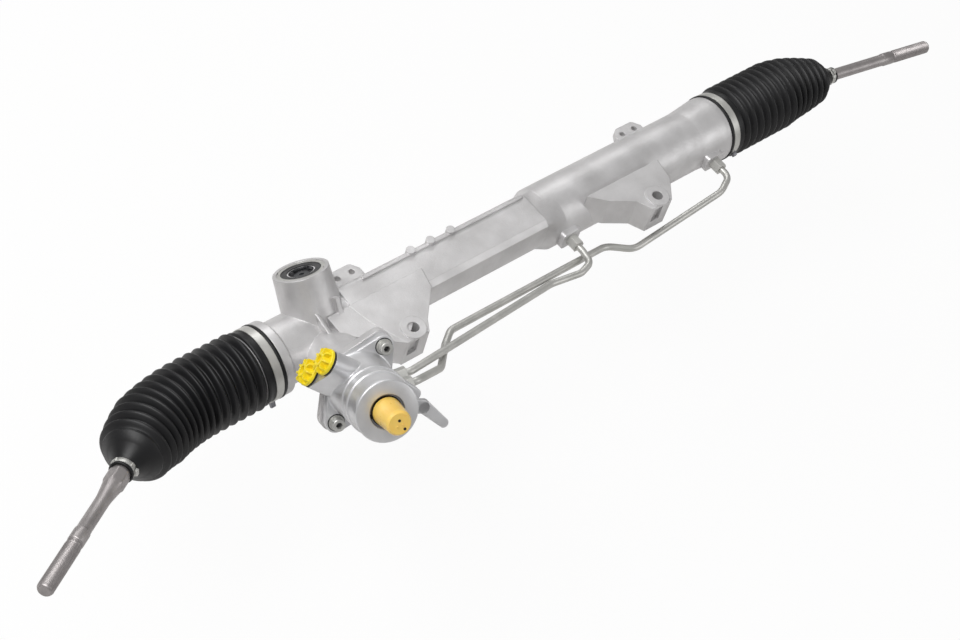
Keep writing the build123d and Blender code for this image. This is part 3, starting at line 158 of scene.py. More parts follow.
def make_world():
    """Plain world: white where the camera sees it, a softer grey as a light."""
    world = bpy.data.worlds.new("studio")
    bpy.context.scene.world = world
    world.use_nodes = True
    tree = world.node_tree
    tree.nodes.clear()
    out = tree.nodes.new("ShaderNodeOutputWorld")
    light = tree.nodes.new("ShaderNodeBackground")
    light.inputs["Color"].default_value = (1.0, 0.985, 0.98, 1)
    light.inputs["Strength"].default_value = WORLD_LIGHT
    seen = tree.nodes.new("ShaderNodeBackground")
    seen.inputs["Color"].default_value = (1, 1, 1, 1)
    seen.inputs["Strength"].default_value = 1.0
    mix = tree.nodes.new("ShaderNodeMixShader")
    tree.links.new(seen_share(tree, GLOSSY_SHARE, 1.0), mix.inputs["Fac"])
    tree.links.new(light.outputs["Background"], mix.inputs[1])
    tree.links.new(seen.outputs["Background"], mix.inputs[2])
    tree.links.new(mix.outputs["Shader"], out.inputs["Surface"])


def make_floor():
    """Large pale floor below the part, white to the camera, with the part's soft shadow."""
    mesh = bpy.data.meshes.new("floor")
    size = FLOOR_HALF_SIZE
    z = cad_box[0].z - FLOOR_DROP
    corners = [(-size, -size, z), (size, -size, z), (size, size, z), (-size, size, z)]
    mesh.from_pydata(corners, [], [(0, 1, 2, 3)])
    floor = add_object("floor", mesh)
    paint = bpy.data.materials.new("floor_paint")
    paint.use_nodes = True
    tree = paint.node_tree
    tree.nodes.clear()
    out = tree.nodes.new("ShaderNodeOutputMaterial")
    matte = tree.nodes.new("ShaderNodeBsdfDiffuse")
    matte.inputs["Color"].default_value = (0.80, 0.79, 0.78, 1)
    glow = tree.nodes.new("ShaderNodeEmission")
    glow.inputs["Strength"].default_value = 1.0
    mix = tree.nodes.new("ShaderNodeMixShader")
    tree.links.new(seen_share(tree, FLOOR_GLOSSY_SHARE, FLOOR_WHITE), mix.inputs["Fac"])
    tree.links.new(matte.outputs["BSDF"], mix.inputs[1])
    tree.links.new(glow.outputs["Emission"], mix.inputs[2])
    tree.links.new(mix.outputs["Shader"], out.inputs["Surface"])
    mesh.materials.append(paint)


def make_stage():
    """Camera, world, floor and three soft lamps."""
    make_camera()
    make_world()
    make_floor()
    middle = (0.0, 0.03, 0.0)
    area_light("key", (-1.3, 0.3, 2.1), middle, (2.2, 1.2), 58)
    area_light("fill", (1.2, -1.8, 1.1), middle, (1.6, 1.2), 11)
    area_light("rim", (0.6, 2.0, 1.6), middle, (2.4, 0.8), 20)
    bpy.context.scene.view_settings.view_transform = "Standard"


class Paint:
    """A material's node tree with a few short calls for what each recipe needs."""

    def __init__(self, name, colour, metallic, roughness):
        """Material with a Principled shader at its plain values."""
        self.material = bpy.data.materials.new(name)
        self.material.use_nodes = True
        self.tree = self.material.node_tree
        self.shader = self.tree.nodes["Principled BSDF"]
        self.shader.inputs["Base Color"].default_value = (*colour, 1)
        self.shader.inputs["Metallic"].default_value = metallic
        self.shader.inputs["Roughness"].default_value = roughness
        self.place = self.tree.nodes.new("ShaderNodeTexCoord").outputs["Object"]
        self.height = None

    def noise(self, scale, detail=4.0):
        """Noise value with features of a size of 1 / scale metres."""
        texture = self.tree.nodes.new("ShaderNodeTexNoise")
        texture.inputs["Scale"].default_value = scale
        texture.inputs["Detail"].default_value = detail
        self.tree.links.new(self.place, texture.inputs["Vector"])
        return texture.outputs["Fac"]

    def ramp(self, value, low, high, start=0.3, end=0.7):
        """Colour that runs from low to high as the value does."""
        node = self.tree.nodes.new("ShaderNodeValToRGB")
        node.color_ramp.elements[0].position = start
        node.color_ramp.elements[1].position = end
        node.color_ramp.elements[0].color = (*low, 1)
        node.color_ramp.elements[1].color = (*high, 1)
        self.tree.links.new(value, node.inputs["Fac"])
        return node.outputs["Color"]

    def colour(self, output):
        """Drive the base colour."""
        self.tree.links.new(output, self.shader.inputs["Base Color"])

    def rough(self, value, low, high):
        """Drive the roughness between two values."""
        span = self.tree.nodes.new("ShaderNodeMapRange")
        span.inputs["To Min"].default_value = low
        span.inputs["To Max"].default_value = high
        self.tree.links.new(value, span.inputs["Value"])
        self.tree.links.new(span.outputs["Result"], self.shader.inputs["Roughness"])

    def bump(self, value, strength, distance, soften=0.0):
        """Bump from a value, on top of earlier bumps; for the first one, soften rounds edges."""
        node = self.tree.nodes.new("ShaderNodeBump")
        node.inputs["Strength"].default_value = strength
        node.inputs["Distance"].default_value = distance
        self.tree.links.new(value, node.inputs["Height"])
        if self.height is not None:
            self.tree.links.new(self.height, node.inputs["Normal"])
        elif soften:
            bevel = self.tree.nodes.new("ShaderNodeBevel")
            bevel.samples = 4
            bevel.inputs["Radius"].default_value = soften
            self.tree.links.new(bevel.outputs["Normal"], node.inputs["Normal"])
        self.height = node.outputs["Normal"]
        self.tree.links.new(self.height, self.shader.inputs["Normal"])


def cast_alloy():
    """Cast aluminium: pale satin grey, fine pores and soft cloudy changes of tone."""
    paint = Paint("cast_alloy", (0.6, 0.59, 0.59), 0.6, 0.5)
    dark, pale = (0.46, 0.452, 0.452), (0.68, 0.672, 0.675)
    paint.colour(paint.ramp(paint.noise(22.0, 9), dark, pale, 0.25, 0.75))
    paint.rough(paint.noise(70.0, 6), 0.32, 0.58)
    paint.bump(paint.noise(620.0, 6), 0.34, 0.0005, soften=0.0014)
    paint.bump(paint.noise(75.0, 5), 0.40, 0.0011)
    return paint.material


def machined_alloy():
    """Machined and shot-blasted aluminium of the valve housing."""
    paint = Paint("machined_alloy", (0.62, 0.62, 0.63), 0.7, 0.4)
    paint.colour(paint.ramp(paint.noise(26.0, 5), (0.52, 0.52, 0.53), (0.68, 0.68, 0.69)))
    paint.rough(paint.noise(80.0), 0.30, 0.46)
    paint.bump(paint.noise(600.0, 4), 0.22, 0.0004, soften=0.0010)
    return paint.material


def zinc_steel():
    """Zinc-plated steel of pipes, screws, clamps and rings."""
    paint = Paint("zinc_steel", (0.52, 0.52, 0.50), 0.75, 0.4)
    paint.colour(paint.ramp(paint.noise(40.0, 4), (0.44, 0.44, 0.42), (0.58, 0.575, 0.55)))
    paint.rough(paint.noise(120.0), 0.34, 0.50)
    paint.bump(paint.noise(900.0), 0.12, 0.0003, soften=0.0005)
    return paint.material


def rod_steel():
    """Tie rod steel: warm grey with light stains."""
    paint = Paint("rod_steel", (0.33, 0.31, 0.31), 0.8, 0.42)
    dark, pale = (0.27, 0.25, 0.25), (0.38, 0.36, 0.355)
    paint.colour(paint.ramp(paint.noise(70.0, 8), dark, pale, 0.2, 0.8))
    paint.rough(paint.noise(90.0), 0.36, 0.48)
    paint.bump(paint.noise(700.0), 0.2, 0.0003, soften=0.0004)
    return paint.material


def ground_steel():
    """Bright ground steel of shafts and bearings."""
    paint = Paint("ground_steel", (0.68, 0.68, 0.69), 1.0, 0.18)
    paint.colour(paint.ramp(paint.noise(60.0), (0.6, 0.6, 0.61), (0.74, 0.74, 0.75)))
    paint.rough(paint.noise(200.0), 0.14, 0.26)
    paint.bump(paint.noise(1200.0), 0.06, 0.0002)
    return paint.material


def spring_steel():
    """Dark tempered steel."""
    paint = Paint("spring_steel", (0.2, 0.2, 0.21), 0.9, 0.35)
    paint.colour(paint.ramp(paint.noise(60.0), (0.14, 0.14, 0.15), (0.26, 0.26, 0.28)))
    paint.rough(paint.noise(150.0), 0.3, 0.45)
    paint.bump(paint.noise(900.0), 0.1, 0.0002)
    return paint.material


def black_steel():
    """Black coated steel of the yoke plug."""
    paint = Paint("black_steel", (0.012, 0.012, 0.013), 0.3, 0.38)
    paint.colour(paint.ramp(paint.noise(70.0), (0.008, 0.008, 0.009), (0.022, 0.022, 0.024)))
    paint.rough(paint.noise(160.0), 0.28, 0.5)
    paint.bump(paint.noise(800.0), 0.15, 0.0003, soften=0.0004)
    return paint.material


def rubber(name, dark, pale):
    """Black moulded rubber with a faint bloom and fine grain."""
    paint = Paint(name, dark, 0.0, 0.45)
    paint.colour(paint.ramp(paint.noise(24.0, 6), dark, pale))
    paint.rough(paint.noise(45.0, 5), 0.34, 0.52)
    paint.bump(paint.noise(500.0, 4), 0.12, 0.0004)
    paint.shader.inputs["Specular IOR Level"].default_value = 0.32
    return paint.material


def bush_bronze():
    """Sintered bronze."""
    paint = Paint("bush_bronze", (0.5, 0.33, 0.14), 0.9, 0.4)
    paint.colour(paint.ramp(paint.noise(80.0), (0.42, 0.27, 0.11), (0.58, 0.4, 0.18)))
    paint.rough(paint.noise(200.0), 0.35, 0.5)
    paint.bump(paint.noise(1500.0), 0.15, 0.0002)
    return paint.material


def plastic(name, dark, pale, roughness, see_through=0.0):
    """Moulded plastic with a fine surface."""
    paint = Paint(name, dark, 0.0, roughness)
    paint.colour(paint.ramp(paint.noise(30.0), dark, pale))
    paint.rough(paint.noise(140.0), roughness - 0.05, roughness + 0.08)
    paint.bump(paint.noise(700.0), 0.08, 0.0003, soften=0.0006)
    if see_through:
        paint.shader.inputs["Subsurface Weight"].default_value = see_through
        paint.shader.inputs["Subsurface Radius"].default_value = (0.004, 0.0025, 0.001)
    return paint.material


def make_materials():
    """One material for each material slot of the record."""
    yellow = ((0.80, 0.62, 0.012), (0.90, 0.74, 0.02))
    amber = ((0.78, 0.50, 0.09), (0.86, 0.60, 0.15))
    white = ((0.62, 0.6, 0.54), (0.72, 0.7, 0.63))
    grey = ((0.018, 0.02, 0.022), (0.03, 0.032, 0.036))
    return {
        "cast_alloy": cast_alloy(),
        "machined_alloy": machined_alloy(),
        "zinc_steel": zinc_steel(),
        "rod_steel": rod_steel(),
        "ground_steel": ground_steel(),
        "spring_steel": spring_steel(),
        "black_steel": black_steel(),
        "boot_rubber": rubber("boot_rubber", (0.004, 0.004, 0.0045), (0.009, 0.009, 0.010)),
        "seal_rubber": rubber("seal_rubber", (0.008, 0.008, 0.008), (0.016, 0.016, 0.016)),
        "bush_bronze": bush_bronze(),
        "slide_plastic": plastic("slide_plastic", *white, 0.4),
        "yellow_plastic": plastic("yellow_plastic", *yellow, 0.42, 0.1),
        "amber_plastic": plastic("amber_plastic", *amber, 0.28, 0.25),
        "grey_plastic": plastic("grey_plastic", *grey, 0.4),
    }


def dress_nodes(materials):
    """Give each CAD node the material of its slot."""
    for entry in frame["record"]["subparts"]:
        mesh = nodes[entry["node"]].data
        mesh.materials.clear()
        mesh.materials.append(materials[entry["material_slot"]])


def tube_faces(rows, count, closed=False):
    """Faces between rows of points, each row a ring; closed joins the last row to the first."""
    faces = []
    for i in range(rows if closed else rows - 1):
        low, high = i * count, (i + 1) % rows * count
        for j in range(count):
            k = (j + 1) % count
            faces.append((low + j, low + k, high + k, high + j))
    return faces


class CentreLine:
    """A boot's centre line: straight from the housing, an arc past the ball, then the rod."""

    bend = 150 * MM

    def __init__(self, start_x, ball, rod):
        """Line from the housing's end face at start_x, bent to the rod's direction at the ball."""
        self.out = Vector((1 if ball.x > 0 else -1, 0, 0))
        self.ball = ball
        self.rod = rod
        self.turn = self.out.angle(rod)
        self.tangent = self.bend * math.tan(self.turn / 2)
        self.straight = abs(ball.x - start_x) - self.tangent
        self.side = (rod - self.out * self.out.dot(rod)).normalized()
        self.start = Vector((start_x, ball.y, ball.z))
        self.normal = self.out.cross(self.side)

    def at(self, t):
        """Point and two cross directions of the section at length t."""
        arc_end = self.straight + self.bend * self.turn
        if t <= self.straight:
            place = self.start + self.out * t
            heading = self.out
        elif t <= arc_end:
            a = (t - self.straight) / self.bend
            place = self.start + self.out * (self.straight + self.bend * math.sin(a))
            place = place + self.side * (self.bend * (1 - math.cos(a)))
            heading = self.out * math.cos(a) + self.side * math.sin(a)
        else:
            place = self.ball + self.rod * (self.tangent + t - arc_end)
            heading = self.rod
        return place, self.normal, heading.cross(self.normal)

    def length_to(self, from_ball):
        """Length at which a plane a distance beyond the ball is reached."""
        return self.straight + self.bend * self.turn + from_ball - self.tangent


def tube_mesh(name, line, profile, segments=96):
    """Object with a profile [(length, radius), ...] turned round a centre line, ends open."""
    mesh = bpy.data.meshes.new(name)
    points = []
    for t, radius in profile:
        place, x, y = line.at(t)
        for j in range(segments):
            a = 2 * math.pi * j / segments
            points.append(place + (x * math.cos(a) + y * math.sin(a)) * radius)
    mesh.from_pydata(points, [], tube_faces(len(profile), segments))
    mesh.shade_smooth()
    return add_object(name, mesh)


# Boots: lengths count from the housing's end face, outwards along the centre line. A ridge
# power below 1 makes the ridges wider than the valleys, and the cuts count from the ball
BOOT_LENGTH = 90 * MM
CUFF_BACK = -22.7 * MM
BOOT_WALL = 1.6 * MM
BOOT_THICKNESS = 1.28 * MM
NECK_R = 38.0 * MM
FOLD_DEPTH = 6.4 * MM
NEAR_SEAT_R = 9.6 * MM
FAR_SEAT_R = 7.25 * MM
CONE = 20 * MM
SMALL_CUFF = 10 * MM
FOLD_POINTS = 12
RIDGE_POWER = 0.8
FIRST_CUT = -23 * MM
SECOND_CUT = -3 * MM


def boot_profile(line, folds, ridge_at, seat_r):
    """Outer radius of a boot along its centre line, rounded ridges and narrower valleys."""
    end = line.length_to(BOOT_LENGTH)
    folded = end - CONE - SMALL_CUFF
    cuff = NECK_R + BOOT_WALL
    small = seat_r + BOOT_WALL
    points = [
        (CUFF_BACK, NECK_R + 0.3 * MM),
        (CUFF_BACK, cuff + 0.8 * MM),
        (CUFF_BACK + 0.8 * MM, cuff + 1.6 * MM),
        (CUFF_BACK + 3.2 * MM, cuff + 1.6 * MM),
        (CUFF_BACK + 4.0 * MM, cuff + 0.8 * MM),
        (CUFF_BACK + 4.0 * MM, cuff),
        (-4.5 * MM, cuff),
        (-2.0 * MM, cuff + 1.4 * MM),
        (-0.5 * MM, cuff + 0.2 * MM),
    ]
    for i in range(folds):
        ridge = ridge_at(i)
        valley = ridge - FOLD_DEPTH
        for k in range(FOLD_POINTS):
            u = k / FOLD_POINTS
            wave = (0.5 - 0.5 * math.cos(2 * math.pi * u)) ** RIDGE_POWER
            points.append(((i + u) * folded / folds, valley + (ridge - valley) * wave))
    valley = ridge_at(folds - 1) - FOLD_DEPTH
    points += [
        (folded, valley),
        (folded + 1.5 * MM, valley + 0.6 * MM),
        (folded + 3.0 * MM, valley + 0.2 * MM),
        (folded + 8.0 * MM, valley * 0.76),
        (folded + 8.6 * MM, valley * 0.76 - 0.7 * MM),
        (folded + 9.4 * MM, valley * 0.70 - 0.2 * MM),
        (folded + CONE - 3 * MM, small + 3.5 * MM),
        (folded + CONE, small + 0.5 * MM),
        (folded + CONE + 1 * MM, small),
        (end - 2.0 * MM, small),
        (end - 1.6 * MM, small + 1.2 * MM),
        (end - 0.4 * MM, small + 1.2 * MM),
        (end, small + 0.6 * MM),
        (end, seat_r + 0.05 * MM),
    ]
    return points


def cut_profile(points, start, end):
    """The stretch of a profile between two lengths, with a new point at each cut."""
    def point_at(t):
        """Point of the profile at length t."""
        for (t0, r0), (t1, r1) in zip(points, points[1:]):
            if t0 <= t <= t1 and t1 > t0:
                return t, r0 + (r1 - r0) * (t - t0) / (t1 - t0)

    stretch = [(t, r) for t, r in points if start < t < end]
    if start > points[0][0]:
        stretch.insert(0, point_at(start))
    if end < points[-1][0]:
        stretch.append(point_at(end))
    return stretch


def make_boot(side, start_x, ball, rod, folds, ridge_at, seat_r, material):
    """A boot in three pieces, cut at two lengths counted from the ball."""
    line = CentreLine(start_x, ball, rod)
    points = boot_profile(line, folds, ridge_at, seat_r)
    cuts = [-math.inf, line.length_to(FIRST_CUT), line.length_to(SECOND_CUT), math.inf]
    pairs = [("housing", "rack"), ("rack", f"{side}_seat"), (f"{side}_seat", f"{side}_rod")]
    names = ["inner", "middle", "outer"]
    for name, (a, b), start, end in zip(names, pairs, cuts, cuts[1:]):
        piece = tube_mesh(f"{side}_boot_{name}", line, cut_profile(points, start, end))
        piece.data.materials.append(material)
        solid = piece.modifiers.new("wall", "SOLIDIFY")
        solid.thickness = BOOT_THICKNESS
        solid.offset = -1
        bpy.context.view_layer.update()
        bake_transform(piece)
        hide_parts(f"{side}_boot")


def near_ridge(i):
    """Ridge radius of fold i of the near boot, which tapers over its last folds."""
    return (42.6 - 2.0 * max(0, i - 11)) * MM


def far_ridge(i):
    """Ridge radius of fold i of the far boot, which tapers more and more over its outer half."""
    k = max(0, i - 7)
    return (43.0 - 1.3 * k - 0.17 * k**2) * MM


# Tie rods: heights count from the ball's centre, outwards along the rod
ROD_LENGTH = 257.5 * MM
COLLAR_AT = 176.5 * MM
THREAD_START = 195.5 * MM
THREAD_END = 256.3 * MM
THREAD_PITCH = 1.5 * MM
ROWS_PER_PITCH = 6
THREAD_R = 8.0 * MM
THREAD_DEPTH = 0.85 * MM
BALL_R = 14.0 * MM
ROD_R = 7.2 * MM
ROD_NECK_R = 5.4 * MM
SEAT_START = 68.0 * MM
HEX_ROWS = 14
HEX_ROUNDING = 2.0 * MM
HEX_CORNER = 1.12
ROD_SEGMENTS = 60
ROD_SHARP_EDGE = math.radians(32)


def rod_profile(seat_r, hex_at):
    """Smooth part of a tie rod from the back of its ball to the start of its hexagon."""
    ball_steps = 26
    points = []
    for k in range(1, ball_steps - 1):
        a = math.pi * k / ball_steps
        radius = BALL_R * math.sin(a)
        height = -BALL_R * math.cos(a)
        if height > 0 and radius < ROD_NECK_R + 0.1 * MM:
            break
        points.append((height, radius))
    points += [
        (12.9 * MM, ROD_NECK_R),
        (20.0 * MM, ROD_NECK_R),
        (24.0 * MM, ROD_NECK_R + 0.5 * MM),
        (29.0 * MM, ROD_R - 0.15 * MM),
        (30.5 * MM, ROD_R),
    ]
    if hex_at > SEAT_START:
        points += [(SEAT_START, ROD_R), (SEAT_START + 8 * MM, seat_r), (hex_at - 1 * MM, seat_r)]
    return points


def rod_tail(hex_end, hex_flat):
    """Smooth part from the hexagon to the thread: taper, shank, step, collar and groove."""
    start = COLLAR_AT
    step = hex_flat - ROD_R
    taper = 9 * step
    shoulder = hex_end + 1 * MM
    return [
        (shoulder, hex_flat - 0.1 * MM),
        (shoulder + 0.35 * taper, ROD_R + 0.55 * step),
        (shoulder + 0.75 * taper, ROD_R + 0.12 * step),
        (shoulder + taper, ROD_R),
        (start - 0.4 * MM, ROD_R),
        (start, ROD_R + 0.15 * MM),
        (start + 0.9 * MM, THREAD_R - 0.1 * MM),
        (start + 1.6 * MM, THREAD_R),
        (start + 15.6 * MM, THREAD_R),
        (start + 16.2 * MM, THREAD_R - 0.3 * MM),
        (start + 16.8 * MM, THREAD_R - 1.2 * MM),
        (start + 18.2 * MM, THREAD_R - 1.2 * MM),
        (start + 18.9 * MM, THREAD_R - 0.4 * MM),
    ]


def hex_radius(angle, height, hexagon, seat_r):
    """Radius of the rod where the hexagon is forged into it, rounded at its two ends."""
    hex_start, hex_end, half_width = hexagon
    turn = (angle + math.pi / 6) % (math.pi / 3) - math.pi / 6
    flat = min(half_width / math.cos(turn), half_width * HEX_CORNER)
    edge = min(height - hex_start, hex_end - height)
    share = max(0.0, min(1.0, edge / HEX_ROUNDING + 0.25))
    low = seat_r if height < (hex_start + hex_end) / 2 else half_width
    return low + (flat - low) * share


def thread_radius(angle, height):
    """Radius of the screw thread, running out at both of its ends."""
    phase = (height / THREAD_PITCH - angle / (2 * math.pi)) % 1.0
    ridge = 1.0 - abs(2.0 * phase - 1.0)
    ridge = min(1.0, max(0.0, 1.25 * ridge - 0.1))
    run_in = (height - THREAD_START) / (2 * THREAD_PITCH)
    run_out = (THREAD_END - height) / THREAD_PITCH
    fade = max(0.0, min(1.0, run_in, run_out))
    return THREAD_R - THREAD_DEPTH * (1.0 - ridge * fade)


def make_tie_rod(side, ball, direction, hexagon, seat_r, material):
    """Tie rod with its ball, forged hexagon, collar, groove and screw thread."""
    x = direction.orthogonal().normalized()
    y = direction.cross(x)
    angles = [2 * math.pi * j / ROD_SEGMENTS for j in range(ROD_SEGMENTS)]
    hex_start, hex_end, half_width = hexagon
    rows = [(h, [r] * ROD_SEGMENTS) for h, r in rod_profile(seat_r, hex_start)]
    for i in range(HEX_ROWS + 1):
        h = hex_start + (hex_end - hex_start) * i / HEX_ROWS
        rows.append((h, [hex_radius(a, h, hexagon, seat_r) for a in angles]))
    rows += [(h, [r] * ROD_SEGMENTS) for h, r in rod_tail(hex_end, half_width)]
    count = round((THREAD_END - THREAD_START) / THREAD_PITCH * ROWS_PER_PITCH)
    for i in range(count + 1):
        h = THREAD_START + (THREAD_END - THREAD_START) * i / count
        rows.append((h, [thread_radius(a, h) for a in angles]))
    chamfer = [(ROD_LENGTH - 0.5 * MM, 6.6 * MM), (ROD_LENGTH, 5.9 * MM)]
    rows += [(h, [r] * ROD_SEGMENTS) for h, r in chamfer]
    points = []
    for height, radii in rows:
        for a, radius in zip(angles, radii):
            spoke = x * math.cos(a) + y * math.sin(a)
            points.append(ball + direction * height + spoke * radius)
    faces = tube_faces(len(rows), ROD_SEGMENTS)
    top, back, front = len(points) - ROD_SEGMENTS, len(points), len(points) + 1
    points += [ball - direction * BALL_R, ball + direction * (ROD_LENGTH - 0.6 * MM)]
    for j in range(ROD_SEGMENTS):
        k = (j + 1) % ROD_SEGMENTS
        faces += [(back, k, j), (top + j, top + k, front)]
    mesh = bpy.data.meshes.new(f"{side}_rod")
    mesh.from_pydata(points, [], faces)
    mesh.shade_smooth()
    mesh.set_sharp_from_angle(angle=ROD_SHARP_EDGE)
    mesh.materials.append(material)
    piece = add_object(f"{side}_rod_threaded", mesh)
    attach(piece, f"{side}_rod")
    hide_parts(f"{side}_tie_rod")


def in_metres(pairs):
    """Pairs of millimetres as pairs of metres."""
    return [(u * MM, v * MM) for u, v in pairs]


def revolved(origin, axis, profile, segments=72, closed=False):
    """Points and faces of a profile [(length, radius), ...] turned round an axis."""
    x = axis.orthogonal().normalized()
    y = axis.cross(x)
    points = []
    for length, radius in profile:
        for j in range(segments):
            a = 2 * math.pi * j / segments
            points.append(origin + axis * length + (x * math.cos(a) + y * math.sin(a)) * radius)
    return points, tube_faces(len(profile), segments, closed)


def prism(origin, x, y, outline, depth, caps=True):
    """Points and faces of an outline in the plane of x and y, drawn out along their normal."""
    z = x.cross(y).normalized()
    count = len(outline)
    points = [origin + x * u + y * v for u, v in outline]
    points += [point + z * depth for point in points]
    faces = tube_faces(2, count)
    if caps:
        faces += [tuple(reversed(range(count))), tuple(range(count, 2 * count))]
    return points, faces


def make_piece(name, shapes, material, body, stands_for=None):
    """One object from several shapes, on a body, with sharp edges kept sharp."""
    points, faces = [], []
    for shape_points, shape_faces in shapes:
        base = len(points)
        points += shape_points
        faces += [tuple(base + i for i in face) for face in shape_faces]
    mesh = bpy.data.meshes.new(name)
    mesh.from_pydata(points, [], faces)
    shell = bmesh.new()
    shell.from_mesh(mesh)
    bmesh.ops.recalc_face_normals(shell, faces=shell.faces)
    shell.to_mesh(mesh)
    shell.free()
    mesh.shade_smooth()
    mesh.set_sharp_from_angle(angle=SHARP_EDGE)
    mesh.materials.append(material)
    piece = add_object(name, mesh)
    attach(piece, body)
    if stands_for:
        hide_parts(stands_for)


def rounded_ring(inner, outer, start, end, edge):
    """Profile of a ring with rounded outer edges, as (length, radius) in metres."""
    return [
        (start, inner),
        (start, outer - edge),
        (start + edge * 0.3, outer - edge * 0.3),
        (start + edge, outer),
        (end - edge, outer),
        (end - edge * 0.3, outer - edge * 0.3),
        (end, outer - edge),
        (end, inner),
    ]


# Small clamp: its place along the rod, and the raised forms round it, each with its angle in
# radians and its lift, length and thickness in millimetres
CLAMP_START = 81.5 * MM
CLAMP_WIDTH = 5.5 * MM
CLAMP_WALL = 1.1 * MM
CLAMP_FORMS = (
    (1.0, 1.2, 7.0, 2.6), (1.62, 0.5, 5.0, 1.4), (3.4, 0.4, 8.0, 1.2), (4.6, 0.5, 5.0, 1.5),
)


def make_small_clamp(side, ball, direction, radius, material):
    """Narrow crimped band on a boot's small cuff: ring, raised ear and locking tangs."""
    clamp_end = CLAMP_START + CLAMP_WIDTH
    band = rounded_ring(radius, radius + CLAMP_WALL, CLAMP_START, clamp_end, 0.3 * MM)
    shapes = [revolved(ball, direction, band, closed=True)]
    x = direction.orthogonal().normalized()
    y = direction.cross(x)
    for a, lift, length, thick in CLAMP_FORMS:
        spoke = x * math.cos(a) + y * math.sin(a)
        run = direction.cross(spoke)
        corner = ball + direction * (CLAMP_START + 0.6 * MM)
        corner += spoke * (radius + lift * MM) - run * (length / 2 * MM)
        outline = in_metres([(0, 0), (length, 0), (length - 0.8, thick), (0.8, thick)])
        shapes.append(prism(corner, run, spoke, outline, 1.2 * MM - CLAMP_WIDTH))
    name = f"{side}_small_clamp"
    make_piece(f"{name}_band", shapes, material, f"{side}_rod", name)


# Hose ports: (length along the pinion, side) of each, and the flat-topped boss that carries both
PORTS = ((118 * MM, -10 * MM), (141 * MM, 10 * MM))
SLAB_R = 13.5 * MM
SLAB_FOOT = 18 * MM
SLAB_TOP = 49.8 * MM
PORT_R = 8.0 * MM
PORT_FLOOR = 30 * MM


def slab_outline(steps=24):
    """Stadium round both hose ports, in (length along the pinion, side)."""
    (s0, v0), (s1, v1) = PORTS
    heading = math.atan2(v1 - v0, s1 - s0)
    outline = []
    for i in range(steps + 1):
        a = heading + math.pi / 2 + math.pi * i / steps
        outline.append((s0 + SLAB_R * math.cos(a), v0 + SLAB_R * math.sin(a)))
    for i in range(steps + 1):
        a = heading - math.pi / 2 + math.pi * i / steps
        outline.append((s1 + SLAB_R * math.cos(a), v1 + SLAB_R * math.sin(a)))
    return outline


def slab_top(steps=72):
    """Flat top of the boss round each port's bore, up to the line midway between the ports."""
    (s0, v0), (s1, v1) = PORTS
    apart = math.hypot(s1 - s0, v1 - v0)
    along = Vector(((s1 - s0) / apart, (v1 - v0) / apart))
    top = mesh_point + hose_dir * SLAB_TOP
    shapes = []
    for centre, sign in ((Vector((s0, v0)), 1), (Vector((s1, v1)), -1)):
        forward = along * sign
        left = Vector((-forward.y, forward.x))
        points, faces = [], []
        for i in range(steps):
            a = 2 * math.pi * i / steps
            c, t = math.cos(a), math.sin(a)
            reach = SLAB_R
            if c > 1e-6:
                reach = min(apart / 2 / c, SLAB_R / max(abs(t), 1e-6))
            for radius in (PORT_R, reach):
                flat = centre + forward * (c * radius) + left * (t * radius)
                points.append(top + pinion_dir * flat.x + hose_side * flat.y)
        for i in range(steps):
            k = (i + 1) % steps
            faces.append((2 * i, 2 * i + 1, 2 * k + 1, 2 * k))
        shapes.append((points, faces))
        hole = mesh_point + pinion_dir * centre.x + hose_side * centre.y
        shapes.append(revolved(hole, hose_dir, [(PORT_FLOOR, PORT_R), (SLAB_TOP, PORT_R)]))
    return shapes


def hull_outline(circles, steps=168):
    """Outline in metres round several circles (x, y, radius) in millimetres."""
    outline = []
    for i in range(steps):
        a = 2 * math.pi * i / steps
        c, t = math.cos(a), math.sin(a)
        x, y, r = max(circles, key=lambda circle: circle[0] * c + circle[1] * t + circle[2])
        outline.append(((x + r * c) * MM, (y + r * t) * MM))
    return outline


def rounded_prism(origin, x, y, outline, depth, edge):
    """Prism whose two end faces have a small chamfer."""
    count = len(outline)
    middle = sum((Vector(corner) for corner in outline), Vector((0, 0))) / count
    rows = []
    for height, inset in ((0, edge), (edge, 0), (depth - edge, 0), (depth, edge)):
        row = []
        for u, v in outline:
            away = Vector((u, v)) - middle
            row.append(middle + away * max(0.0, 1 - inset / max(away.length, 1e-6)))
        rows.append((height, row))
    z = x.cross(y).normalized()
    points = [origin + x * q.x + y * q.y + z * height for height, row in rows for q in row]
    faces = tube_faces(len(rows), count)
    last = count * (len(rows) - 1)
    faces += [tuple(reversed(range(count))), tuple(range(last, last + count))]
    return points, faces


# Flange of the valve housing, and where its screws sit round the pinion axis, as (across, yoke)
# in millimetres
SCREW_CIRCLE_R = 44
SCREW_TURNS = (math.radians(41), math.radians(221))
SCREWS = [(SCREW_CIRCLE_R * math.cos(a), SCREW_CIRCLE_R * math.sin(a)) for a in SCREW_TURNS]
LUG_R = 11.0
FLANGE_R = 32.5
FLANGE_BACK = 106.3 * MM
FLANGE_DEPTH = 11.7 * MM


def valve_point(s, u=0.0, b=0.0):
    """Point s along the pinion axis, u across it and b towards the yoke, in millimetres."""
    return mesh_point + pinion_dir * (s * MM) + across_dir * (u * MM) + yoke_dir * (b * MM)


